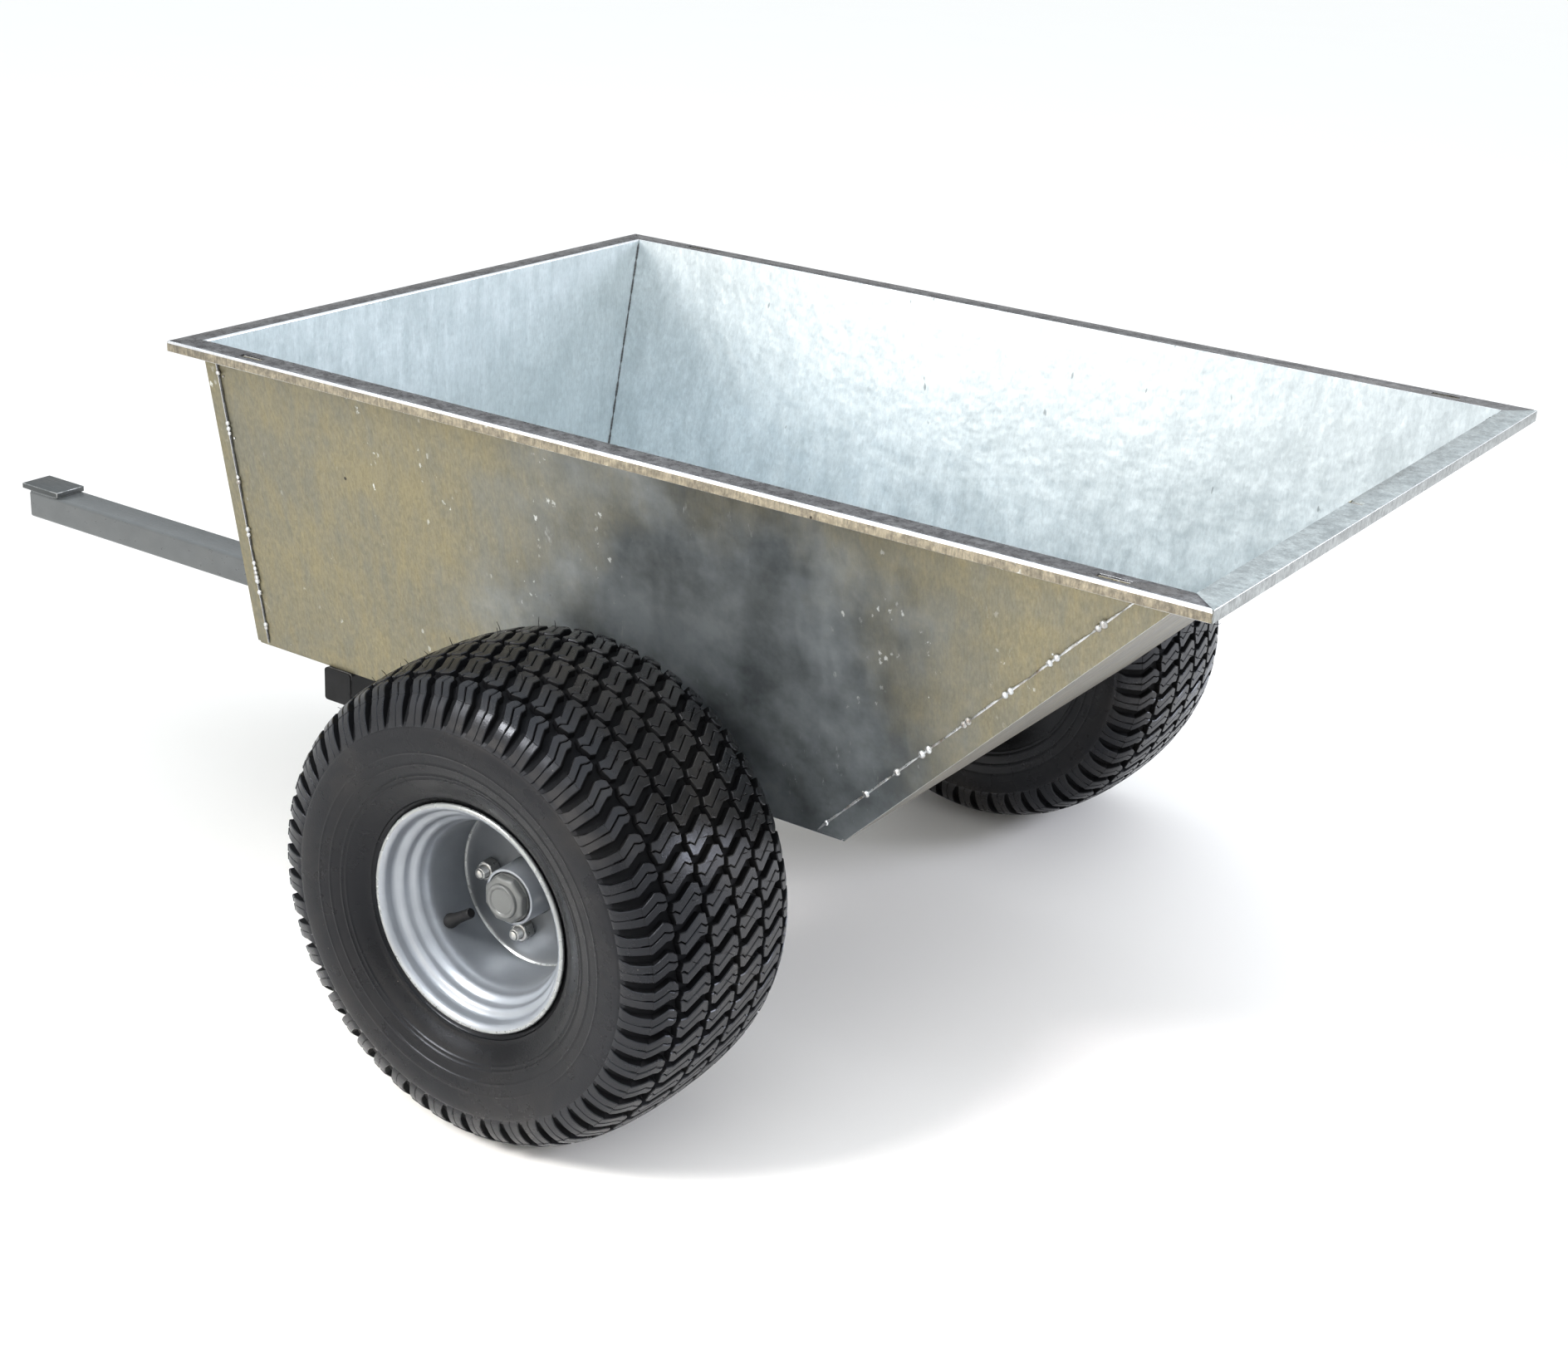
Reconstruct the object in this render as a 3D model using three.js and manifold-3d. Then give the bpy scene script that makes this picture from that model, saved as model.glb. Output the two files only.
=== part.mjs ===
// A tow-behind dump cart: a folded sheet-metal tub that tips rearward on a two-wheel chassis.
// Millimetres. +X points forward to the hitch, +Y to the left, +Z up, with the ground at z = 0.
// The pieces are placed from the wheel axis, then the whole cart is moved so that the origin
// is at the bottom centre of its bounding box.
import * as THREE from 'three';
import { mergeVertices } from 'three/addons/utils/BufferGeometryUtils.js';
import { ConvexGeometry } from 'three/addons/geometries/ConvexGeometry.js';
import Module from 'manifold-3d';

const wasm = await Module();
wasm.setup();

// ---- Driving dimensions -------------------------------------------------------------------

const GAP = 0.3;                  // clearance between pieces that touch

// Tub
const SHEET = 2;                  // sheet thickness
const FLOOR_Z = 312;              // underside of the floor
const RIM_Z = 689;                // top of the rim
const FLOOR_FRONT_X = 572;
const FLOOR_REAR_X = -249;
const FLOOR_HALF_WIDTH = 321;
const RIM_OPEN_FRONT_X = 570;     // outer faces of the walls at rim height
const RIM_OPEN_REAR_X = -622;
const RIM_OPEN_HALF_WIDTH = 394;
const RIM_WIDTH = 27;
const RIM_LIP = 12.5;
const FRONT_RETURN = 17;          // width of the folded edges lapped over the side walls
const REAR_RETURN = 24.5;
const RETURN_CLEAR = 4;           // the folded edges stop this far above the floor's underside
const RIM_SLOT = [32, 8];
const RIM_SLOT_X = [480, -550];
const REAR_NOTCH = [14, 9];
const REAR_NOTCH_Y = 50;

// Cross tubes under the tub
const CROSS_TUBE = 40;
const CROSS_TUBE_WALL = 3;
const FRONT_TUBE_X = 443;
const FRONT_TUBE_HALF = 326;
const PIVOT_TUBE_HALF = 300;
const CAP_THICKNESS = 2.5;

// Chassis
const DRAWBAR_WIDTH = 50;
const DRAWBAR_HEIGHT = 40;
const DRAWBAR_WALL = 3;
const DRAWBAR_TOP_Z = 259.7;
const DRAWBAR_FRONT_X = 1345;
const HITCH_PLATE = [75, 50, 8];
const HITCH_OVERHANG = 16;
const BEAM = 50;
const BEAM_WALL = 4;
const BEAM_HALF = 440;
const GUSSET_LEG = 110;
const GUSSET_THICKNESS = 6;

// Tipping pivot
const PIVOT_X = -60;
const PIVOT_Z = 245;
const PIVOT_Y = 200;
const PIVOT_BOLT_RADIUS = 8;
const LUG_THICKNESS = 10;
const LUG_RADIUS = 16;
const CHEEK_THICKNESS = 6;

// Latch
const LATCH_X = 612;
const LATCH_Z = 280;
const LATCH_PIN_RADIUS = 5;
const LEVER_THICKNESS = 8;
const LATCH_RELEASED = 35;        // degrees that the lever leans forward when it is released
const STRIKE_X = 592;
const STRIKE_Z = 330;
const STRIKE_RADIUS = 6;

// Wheels
const TRACK_HALF = 505.6;
const AXLE_Z = 254;
const TYRE_RADIUS = 254;
const TYRE_HALF_WIDTH = 123;
const RIM_HALF_WIDTH = 101;
const RIM_FLANGE_RADIUS = 119.5;
const RIM_SHEET = 2.6;
const DISC_FACE = 3.4;            // outer face of the wheel disc, outboard of the tyre's centre
const DISC_THICKNESS = 4;
const DISC_RADIUS = 86.5;
const HUB_RADIUS = 30;
const HUB_FLANGE_RADIUS = 66;
const HUB_OUTER = 38.4;
const HUB_INNER = -50;
const STUD_CIRCLE_RADIUS = 50;
const STUD_RADIUS = 6;
const STUD_COUNT = 4;
const STUD_TURN = 5;              // degrees from straight forward to the first stud
const SPINDLE_RADIUS = 12.5;
const BEARING_RADIUS = 26;
const BEARING_WIDTH = 15;
const VALVE_TURN = -34;
const WHEEL_SEGMENTS = 40;
const RIM_SEGMENTS = 32;
const HUB_SEGMENTS = 24;

// ---- Materials ----------------------------------------------------------------------------

const LOOKS = {
  zinc: { color: 0xb9c0c2, roughness: 0.38, metalness: 0.85 },
  greyPaint: { color: 0x6b6f71, roughness: 0.5, metalness: 0.3 },
  blackPaint: { color: 0x1c1c1d, roughness: 0.45, metalness: 0.2 },
  silverPaint: { color: 0xb4b6b8, roughness: 0.35, metalness: 0.6 },
  tyreRubber: { color: 0x1d1d1e, roughness: 0.75, metalness: 0 },
  rubber: { color: 0x141414, roughness: 0.7, metalness: 0 },
  platedSteel: { color: 0x9d9a8e, roughness: 0.4, metalness: 0.85 },
  steel: { color: 0x85878a, roughness: 0.35, metalness: 0.9 },
  plastic: { color: 0x18181a, roughness: 0.5, metalness: 0 },
};

// ---- Geometry helpers ---------------------------------------------------------------------

const degrees = THREE.MathUtils.degToRad;

// A closed triangle mesh as a solid, with its shared vertices merged and its faces pointing out.
function solid(geometry) {
  const bare = geometry.clone();
  bare.deleteAttribute('normal');
  bare.deleteAttribute('uv');
  const merged = mergeVertices(bare, 1e-3);
  const points = merged.attributes.position.array;
  const index = merged.index.array;
  const faces = [];
  let volume = 0;
  for (let i = 0; i < index.length; i += 3) {
    const [a, b, c] = [index[i], index[i + 1], index[i + 2]];
    if (a === b || b === c || a === c) continue;
    faces.push([a, b, c]);
    const [p, q, r] = [a, b, c].map((k) => new THREE.Vector3().fromArray(points, 3 * k));
    volume += p.dot(q.cross(r));
  }
  const outward = volume > 0 ? faces : faces.map(([a, b, c]) => [a, c, b]);
  return new wasm.Manifold(new wasm.Mesh({
    numProp: 3,
    vertProperties: new Float32Array(points),
    triVerts: new Uint32Array(outward.flat()),
  }));
}

function geometryOf(manifold) {
  const mesh = manifold.getMesh();
  const geometry = new THREE.BufferGeometry();
  geometry.setAttribute('position', new THREE.BufferAttribute(mesh.vertProperties, 3));
  geometry.setIndex(new THREE.BufferAttribute(mesh.triVerts, 1));
  geometry.computeVertexNormals();
  return geometry;
}

function box(sizeX, sizeY, sizeZ, x, y, z) {
  return solid(new THREE.BoxGeometry(sizeX, sizeY, sizeZ).translate(x, y, z));
}

// A box from its lowest corner to its highest.
function span([x0, y0, z0], [x1, y1, z1]) {
  return box(x1 - x0, y1 - y0, z1 - z0, (x0 + x1) / 2, (y0 + y1) / 2, (z0 + z1) / 2);
}

// A shape of (x, z) points, extruded along Y between two planes.
function extrudeY(shape, y0, y1, curveSegments = 6) {
  const options = { depth: y1 - y0, bevelEnabled: false, curveSegments };
  const geometry = new THREE.ExtrudeGeometry(shape, options);
  return solid(geometry.rotateX(Math.PI / 2).translate(0, y1, 0));
}

// A shape of (y, z) points, extruded along X between two planes.
function extrudeX(shape, x0, x1, curveSegments = 3) {
  const options = { depth: x1 - x0, bevelEnabled: false, curveSegments };
  const geometry = new THREE.ExtrudeGeometry(shape, options);
  const [xAxis, yAxis, zAxis] = [0, 1, 2].map((i) => new THREE.Vector3().setComponent(i, 1));
  const turn = new THREE.Matrix4().makeBasis(yAxis, zAxis, xAxis);
  return solid(geometry.applyMatrix4(turn).translate(x0, 0, 0));
}

// A shape of (x, y) points, extruded up between two heights.
function extrudeZ(shape, z0, z1, curveSegments = 6) {
  const options = { depth: z1 - z0, bevelEnabled: false, curveSegments };
  return solid(new THREE.ExtrudeGeometry(shape, options).translate(0, 0, z0));
}

function polygon(points) {
  return new THREE.Shape(points.map(([x, y]) => new THREE.Vector2(x, y)));
}

function regularPolygon(sides, radius, turn = 0) {
  const corners = [];
  for (let i = 0; i < sides; i += 1) {
    const angle = turn + (2 * Math.PI * i) / sides;
    corners.push([radius * Math.cos(angle), radius * Math.sin(angle)]);
  }
  return polygon(corners);
}

function roundedRectangle(width, height, radius, x = 0, y = 0) {
  const [w, h] = [width / 2 - radius, height / 2 - radius];
  const shape = new THREE.Shape();
  shape.absarc(x + w, y + h, radius, 0, Math.PI / 2);
  shape.absarc(x - w, y + h, radius, Math.PI / 2, Math.PI);
  shape.absarc(x - w, y - h, radius, Math.PI, 1.5 * Math.PI);
  shape.absarc(x + w, y - h, radius, 1.5 * Math.PI, 2 * Math.PI);
  shape.closePath();
  return shape;
}

// A rectangular hollow section in the plane of its cross-section.
function hollowSection(width, height, wall, radius, x, y) {
  const shape = roundedRectangle(width, height, radius, x, y);
  const inner = Math.max(radius - wall, 0.8);
  shape.holes.push(roundedRectangle(width - 2 * wall, height - 2 * wall, inner, x, y));
  return shape;
}

// A rod along Y at (x, z).
function rodY(radius, y0, y1, x = 0, z = 0, segments = 20) {
  const rod = new THREE.CylinderGeometry(radius, radius, y1 - y0, segments);
  return solid(rod.translate(x, (y0 + y1) / 2, z));
}

// A turned piece about the Y axis from (radius, y) points; a profile off the axis is closed.
function turned(profile, segments = WHEEL_SEGMENTS) {
  const points = profile.map(([r, y]) => new THREE.Vector2(r, y));
  const closed = profile[0][0] > 0 || profile[profile.length - 1][0] > 0;
  if (closed) points.push(points[0].clone());
  return solid(new THREE.LatheGeometry(points, segments));
}

function hexagonY(acrossFlats, y0, y1, x = 0, z = 0) {
  const shape = regularPolygon(6, acrossFlats / Math.sqrt(3));
  return extrudeY(shape, y0, y1).translate([x, 0, z]);
}

function unite(...solids) {
  return solids.reduce((sum, next) => sum.add(next));
}

// ---- Scene --------------------------------------------------------------------------------

const cart = new THREE.Group();

function addPiece(parent, name, manifold, look) {
  const mesh = new THREE.Mesh(geometryOf(manifold), new THREE.MeshStandardMaterial(LOOKS[look]));
  mesh.name = name;
  parent.add(mesh);
  return mesh;
}

// ---- Tub ----------------------------------------------------------------------------------

const WALL_HEIGHT = RIM_Z - FLOOR_Z;
const FRONT_SLOPE = (RIM_OPEN_FRONT_X - FLOOR_FRONT_X) / WALL_HEIGHT;
const REAR_SLOPE = (RIM_OPEN_REAR_X - FLOOR_REAR_X) / WALL_HEIGHT;
const SIDE_SLOPE = (RIM_OPEN_HALF_WIDTH - FLOOR_HALF_WIDTH) / WALL_HEIGHT;

// Outer faces of the walls at a height, moved inward by a distance square to the wall.
function frontX(z, inset) {
  return FLOOR_FRONT_X + (z - FLOOR_Z) * FRONT_SLOPE - inset * Math.hypot(1, FRONT_SLOPE);
}

function rearX(z, inset) {
  return FLOOR_REAR_X + (z - FLOOR_Z) * REAR_SLOPE + inset * Math.hypot(1, REAR_SLOPE);
}

function halfWidth(z, inset) {
  return FLOOR_HALF_WIDTH + (z - FLOOR_Z) * SIDE_SLOPE - inset * Math.hypot(1, SIDE_SLOPE);
}

// A solid bounded by planes at given distances inside the tub's outer faces.
function hopper(z0, z1, front, rear, side) {
  const corners = [];
  for (const z of [z0, z1]) {
    for (const turn of [1, -1]) {
      corners.push(new THREE.Vector3(frontX(z, front), turn * halfWidth(z, side), z));
      corners.push(new THREE.Vector3(rearX(z, rear), turn * halfWidth(z, side), z));
    }
  }
  return solid(new ConvexGeometry(corners));
}

// Corners of the rim, where the opening's mitre lines start and end.
const openFront = frontX(RIM_Z, SHEET);
const openRear = rearX(RIM_Z, SHEET);
const openSide = halfWidth(RIM_Z, SHEET);
const rimFront = RIM_OPEN_FRONT_X + RIM_WIDTH;
const rimRear = RIM_OPEN_REAR_X - RIM_WIDTH;
const rimSide = RIM_OPEN_HALF_WIDTH + RIM_WIDTH;

// The whole rim: a flange folded outward with a lip folded down at its edge.
function rimRing() {
  const low = RIM_Z - RIM_LIP;
  const outer = span([rimRear, -rimSide, low], [rimFront, rimSide, RIM_Z]);
  const under = span(
    [rimRear + SHEET, -rimSide + SHEET, low - 1],
    [rimFront - SHEET, rimSide - SHEET, RIM_Z - SHEET],
  );
  const opening = hopper(low - 1, RIM_Z + 1, SHEET / 2, SHEET / 2, SHEET / 2);
  return outer.subtract(under).subtract(opening);
}

// Everything past the mitre lines of one end; lap moves the mitres towards the tub's middle.
function mitreRegion(end, lap = 0) {
  const [openX, rimX] = end === 'front' ? [openFront, rimFront] : [openRear, rimRear];
  const outward = Math.sign(rimX - openX);
  const start = openX + outward * (GAP - lap);
  const reach = 60;
  const shape = polygon([
    [start + outward * reach, openSide + reach],
    [start + outward * reach, -openSide - reach],
    [start - outward * 8, -openSide + 8],
    [start - outward * 8, openSide - 8],
  ]);
  return extrudeZ(shape, FLOOR_Z - 1, RIM_Z + 1);
}

function rimSlots() {
  const middle = RIM_OPEN_HALF_WIDTH + RIM_WIDTH / 2;
  const places = RIM_SLOT_X.flatMap((x) => [[x, middle], [x, -middle]]);
  return unite(...places.map(([x, y]) => box(RIM_SLOT[0], RIM_SLOT[1], 10, x, y, RIM_Z)));
}

// The floor and both side walls, folded from one sheet, with the rim along each side.
function tubBody() {
  const inside = SHEET + GAP;
  const outer = hopper(FLOOR_Z, RIM_Z, inside, inside, 0);
  const hollow = hopper(FLOOR_Z + SHEET, RIM_Z + 1, -20, -20, SHEET);
  const ends = mitreRegion('front', 2 * GAP).add(mitreRegion('rear', 2 * GAP));
  return outer.subtract(hollow).add(rimRing().subtract(ends)).subtract(rimSlots());
}

// A wall that closes one end of the tub, with its edges folded over the side walls.
function endPanel(end) {
  const far = 200;
  const wrap = SHEET + GAP;
  const low = FLOOR_Z - 1;
  const high = RIM_Z + 1;
  const depth = end === 'front' ? FRONT_RETURN : REAR_RETURN;
  const facing = (z0, z1, near, away, side) => (
    end === 'front' ? hopper(z0, z1, near, away, side) : hopper(z0, z1, away, near, side)
  );
  const shell = facing(FLOOR_Z, RIM_Z, 0, far, -wrap).subtract(facing(low, high, SHEET, far / 2, -GAP));
  const strip = facing(low, high, -5, -far, -20).subtract(facing(low - 1, high + 1, depth, -2 * far, -25));
  const region = mitreRegion(end);
  const above = span(
    [rimRear - 10, -rimSide - 10, RIM_Z - SHEET - GAP],
    [rimFront + 10, rimSide + 10, high],
  ).subtract(region);
  const heels = [1, -1].map((side) => span(
    [rimRear, side > 0 ? FLOOR_HALF_WIDTH - 1 : -rimSide, low],
    [rimFront, side > 0 ? rimSide : 1 - FLOOR_HALF_WIDTH, FLOOR_Z + RETURN_CLEAR],
  ));
  const wall = shell.intersect(strip).subtract(above).subtract(unite(...heels));
  return wall.add(rimRing().intersect(region));
}

function tubRearPanel() {
  const [length, width] = REAR_NOTCH;
  const notch = box(length, width, 10, openRear - length / 2, REAR_NOTCH_Y, RIM_Z);
  return endPanel('rear').subtract(notch);
}

function crossTube(x, half) {
  const top = FLOOR_Z - GAP;
  const section = hollowSection(CROSS_TUBE, CROSS_TUBE, CROSS_TUBE_WALL, 4, x, top - CROSS_TUBE / 2);
  const end = half - CAP_THICKNESS - GAP;
  return extrudeY(section, -end, end, 3);
}

// A plug-in cap for the end of a cross tube; side is 1 on the left and -1 on the right.
function tubeCap(x, half, side) {
  const z = FLOOR_Z - GAP - CROSS_TUBE / 2;
  const plug = CROSS_TUBE - 2 * CROSS_TUBE_WALL - 2 * GAP;
  const face = extrudeY(roundedRectangle(CROSS_TUBE, CROSS_TUBE, 4, x, z), half - CAP_THICKNESS, half, 3);
  const cap = face.add(span(
    [x - plug / 2, half - CAP_THICKNESS - 10, z - plug / 2],
    [x + plug / 2, half - 1, z + plug / 2],
  ));
  return side > 0 ? cap : cap.mirror([0, 1, 0]);
}

// A bent bracket that straddles the chassis lug and holds the pivot bolt.
function pivotClevis(y) {
  const top = FLOOR_Z - GAP - CROSS_TUBE - GAP;
  const reach = CROSS_TUBE / 2 - 1;
  const cheek = new THREE.Shape();
  cheek.moveTo(PIVOT_X - reach, top);
  cheek.lineTo(PIVOT_X - LUG_RADIUS - 1, PIVOT_Z);
  cheek.absarc(PIVOT_X, PIVOT_Z, LUG_RADIUS + 1, Math.PI, 2 * Math.PI);
  cheek.lineTo(PIVOT_X + reach, top);
  const hole = new THREE.Path();
  hole.absarc(PIVOT_X, PIVOT_Z, PIVOT_BOLT_RADIUS + GAP, 0, 2 * Math.PI);
  cheek.holes.push(hole);
  const inner = LUG_THICKNESS / 2 + 2 * GAP;
  const outer = inner + CHEEK_THICKNESS;
  const bridge = span([PIVOT_X - reach, y - outer, top - 4], [PIVOT_X + reach, y + outer, top]);
  return unite(
    extrudeY(cheek, y + inner, y + outer),
    extrudeY(cheek, y - outer, y - inner),
    bridge,
  );
}

const CLEVIS_OUTER = LUG_THICKNESS / 2 + 2 * GAP + CHEEK_THICKNESS;

function pivotBolt(y) {
  const head = CLEVIS_OUTER + GAP;
  const shank = rodY(PIVOT_BOLT_RADIUS, y - head - 18, y + head + 4, PIVOT_X, PIVOT_Z);
  return shank.add(hexagonY(24, y + head, y + head + 10, PIVOT_X, PIVOT_Z));
}

function pivotNut(y) {
  const face = y - CLEVIS_OUTER - GAP;
  const nut = hexagonY(24, face - 13, face, PIVOT_X, PIVOT_Z);
  return nut.subtract(rodY(PIVOT_BOLT_RADIUS + GAP, face - 14, face + 1, PIVOT_X, PIVOT_Z));
}

// Two small ears on the front wall, joined by the round bar that the latch hooks over.
function strike() {
  const wall = frontX(STRIKE_Z, 0) + GAP + 0.1;
  const ears = [1, -1].map((side) => span(
    [wall, side * 21.5 - 2.5, STRIKE_Z - 10],
    [STRIKE_X + 9, side * 21.5 + 2.5, STRIKE_Z + 10],
  ));
  return unite(rodY(STRIKE_RADIUS, -27, 27, STRIKE_X, STRIKE_Z), ...ears);
}

function buildTub(parent) {
  addPiece(parent, 'tub_body', tubBody(), 'zinc');
  addPiece(parent, 'tub_front_panel', endPanel('front'), 'zinc');
  addPiece(parent, 'tub_rear_panel', tubRearPanel(), 'zinc');
  addPiece(parent, 'tub_strike', strike(), 'zinc');
  addPiece(parent, 'front_cross_tube', crossTube(FRONT_TUBE_X, FRONT_TUBE_HALF), 'blackPaint');
  addPiece(parent, 'pivot_cross_tube', crossTube(PIVOT_X, PIVOT_TUBE_HALF), 'blackPaint');
  for (const [name, side] of [['left', 1], ['right', -1]]) {
    addPiece(parent, `front_tube_cap_${name}`, tubeCap(FRONT_TUBE_X, FRONT_TUBE_HALF, side), 'plastic');
    addPiece(parent, `pivot_tube_cap_${name}`, tubeCap(PIVOT_X, PIVOT_TUBE_HALF, side), 'plastic');
    addPiece(parent, `pivot_clevis_${name}`, pivotClevis(side * PIVOT_Y), 'blackPaint');
    addPiece(parent, `pivot_bolt_${name}`, pivotBolt(side * PIVOT_Y), 'platedSteel');
    addPiece(parent, `pivot_nut_${name}`, pivotNut(side * PIVOT_Y), 'platedSteel');
  }
}

// ---- Chassis ------------------------------------------------------------------------------

function drawbar() {
  const z = DRAWBAR_TOP_Z - DRAWBAR_HEIGHT / 2;
  const section = hollowSection(DRAWBAR_WIDTH, DRAWBAR_HEIGHT, DRAWBAR_WALL, 5, 0, z);
  return extrudeX(section, BEAM / 2 + GAP, DRAWBAR_FRONT_X);
}

function hitchPlate() {
  const [length, width, thickness] = HITCH_PLATE;
  const bottom = DRAWBAR_TOP_Z + GAP;
  const front = DRAWBAR_FRONT_X + HITCH_OVERHANG;
  return span([front - length, -width / 2, bottom], [front, width / 2, bottom + thickness]);
}

function axleBeam() {
  const section = hollowSection(BEAM, BEAM, BEAM_WALL, 5, 0, AXLE_Z);
  return extrudeY(section, -BEAM_HALF, BEAM_HALF, 3);
}

function gusset(side) {
  const x = BEAM / 2 + GAP;
  const y = side * (DRAWBAR_WIDTH / 2 + GAP);
  const tip = 12;
  const shape = polygon([
    [x, y],
    [x + GUSSET_LEG, y],
    [x + GUSSET_LEG, y + side * tip],
    [x + tip, y + side * GUSSET_LEG],
    [x, y + side * GUSSET_LEG],
  ]);
  const bottom = AXLE_Z - BEAM / 2 + 7;
  return extrudeZ(shape, bottom, bottom + GUSSET_THICKNESS);
}

function pivotLug(y) {
  const back = -BEAM / 2 - GAP;
  const shape = new THREE.Shape();
  shape.moveTo(back, PIVOT_Z + LUG_RADIUS);
  shape.lineTo(PIVOT_X, PIVOT_Z + LUG_RADIUS);
  shape.absarc(PIVOT_X, PIVOT_Z, LUG_RADIUS, Math.PI / 2, 1.5 * Math.PI);
  shape.lineTo(back, PIVOT_Z - LUG_RADIUS);
  const hole = new THREE.Path();
  hole.absarc(PIVOT_X, PIVOT_Z, PIVOT_BOLT_RADIUS + GAP, 0, 2 * Math.PI);
  shape.holes.push(hole);
  return extrudeY(shape, y - LUG_THICKNESS / 2, y + LUG_THICKNESS / 2);
}

// A square shank inside the beam, a shoulder against the inner bearing, and the spindle.
function stubAxle() {
  const shank = BEAM - 2 * BEAM_WALL - 2 * GAP;
  const [shoulder, tip] = [TRACK_HALF + HUB_INNER, TRACK_HALF + HUB_OUTER + 8];
  return unite(
    box(shank, 70, shank, 0, BEAM_HALF - 35, 0),
    rodY(19, BEAM_HALF - 2, shoulder, 0, 0, 24),
    rodY(SPINDLE_RADIUS, BEAM_HALF, tip, 0, 0, 24),
  );
}

function axleNut() {
  const face = TRACK_HALF + HUB_OUTER - 4.5 + GAP;
  const bore = rodY(SPINDLE_RADIUS + GAP, face - 1, face + 20, 0, 0, 24);
  return hexagonY(29, face, face + 10).subtract(bore);
}

function buildStub(parent, name, side) {
  const group = new THREE.Group();
  group.position.set(0, 0, AXLE_Z);
  group.rotation.z = side > 0 ? 0 : Math.PI;
  parent.add(group);
  addPiece(group, `stub_axle_${name}`, stubAxle(), 'steel');
  addPiece(group, `axle_nut_${name}`, axleNut(), 'platedSteel');
}

function restPad() {
  const top = FLOOR_Z - GAP - CROSS_TUBE - GAP;
  return span([FRONT_TUBE_X - 25, -20, DRAWBAR_TOP_Z + GAP], [FRONT_TUBE_X + 25, 20, top]);
}

function buildChassis(parent) {
  addPiece(parent, 'drawbar', drawbar(), 'greyPaint');
  addPiece(parent, 'hitch_plate', hitchPlate(), 'greyPaint');
  addPiece(parent, 'axle_beam', axleBeam(), 'greyPaint');
  addPiece(parent, 'rest_pad', restPad(), 'rubber');
  for (const [name, side] of [['left', 1], ['right', -1]]) {
    addPiece(parent, `gusset_${name}`, gusset(side), 'greyPaint');
    addPiece(parent, `pivot_lug_${name}`, pivotLug(side * PIVOT_Y), 'greyPaint');
    buildStub(parent, name, side);
  }
}

// ---- Latch --------------------------------------------------------------------------------

function latchBracket() {
  const bottom = DRAWBAR_TOP_Z + GAP;
  const inner = LEVER_THICKNESS / 2 + 2 * GAP;
  const ear = new THREE.Shape();
  ear.moveTo(LATCH_X - 18, bottom);
  ear.lineTo(LATCH_X + 18, bottom);
  ear.lineTo(LATCH_X + 12, LATCH_Z);
  ear.absarc(LATCH_X, LATCH_Z, 12, 0, Math.PI);
  const hole = new THREE.Path();
  hole.absarc(LATCH_X, LATCH_Z, LATCH_PIN_RADIUS + GAP, 0, 2 * Math.PI);
  ear.holes.push(hole);
  return unite(
    span([LATCH_X - 24, -22, bottom], [LATCH_X + 24, 22, bottom + 4]),
    extrudeY(ear, inner, inner + 5),
    extrudeY(ear, -inner - 5, -inner),
  );
}

function latchPin() {
  const outer = LEVER_THICKNESS / 2 + 2 * GAP + 5 + GAP;
  return rodY(LATCH_PIN_RADIUS, -outer - 4, outer + 1, LATCH_X, LATCH_Z)
    .add(rodY(8, outer, outer + 3.5, LATCH_X, LATCH_Z));
}

// The lever in its engaged position, about its pivot: an arm, a hook finger and a handle.
function latchLever() {
  const under = STRIKE_Z + STRIKE_RADIUS + 2.5 - LATCH_Z;
  const shape = new THREE.Shape();
  shape.absarc(0, 0, 11, Math.PI, 1.9 * Math.PI);
  shape.lineTo(12, 60);
  shape.lineTo(34, 150);
  shape.lineTo(18, 154);
  shape.lineTo(2, under + 14);
  shape.lineTo(-28, under + 14);
  shape.lineTo(-34, under + 2);
  shape.lineTo(-8, under);
  shape.lineTo(-8, 8);
  const hole = new THREE.Path();
  hole.absarc(0, 0, LATCH_PIN_RADIUS + GAP, 0, 2 * Math.PI);
  shape.holes.push(hole);
  return extrudeY(shape, -LEVER_THICKNESS / 2, LEVER_THICKNESS / 2);
}

// A moulded sleeve over the handle's end.
function latchGrip() {
  const rod = new THREE.CapsuleGeometry(12, 60, 3, 12);
  const grip = solid(rod.rotateX(Math.PI / 2).rotateY(Math.atan2(22, 90)).translate(39, 0, 196));
  return grip;
}

function buildLatch(parent) {
  addPiece(parent, 'latch_bracket', latchBracket(), 'greyPaint');
  addPiece(parent, 'latch_pin', latchPin(), 'platedSteel');
  const group = new THREE.Group();
  group.position.set(LATCH_X, 0, LATCH_Z);
  group.rotation.y = degrees(LATCH_RELEASED);
  parent.add(group);
  addPiece(group, 'latch_lever', latchLever(), 'platedSteel');
  addPiece(group, 'latch_grip', latchGrip(), 'plastic');
}

// ---- Wheels -------------------------------------------------------------------------------
// Each wheel is built about the Y axis with its outboard side towards +Y.

// The visible face of one half of the rim, from its lip to its well, as (radius, y) points.
const RIM_FACE = [
  [RIM_FLANGE_RADIUS, RIM_HALF_WIDTH],
  [112, RIM_HALF_WIDTH - 3],
  [107, RIM_HALF_WIDTH - 14],
  [105, RIM_HALF_WIDTH - 21],
  [99.5, RIM_HALF_WIDTH - 27],
  [91.5, RIM_HALF_WIDTH - 38],
  [DISC_RADIUS + GAP, RIM_HALF_WIDTH - 60],
];

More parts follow.
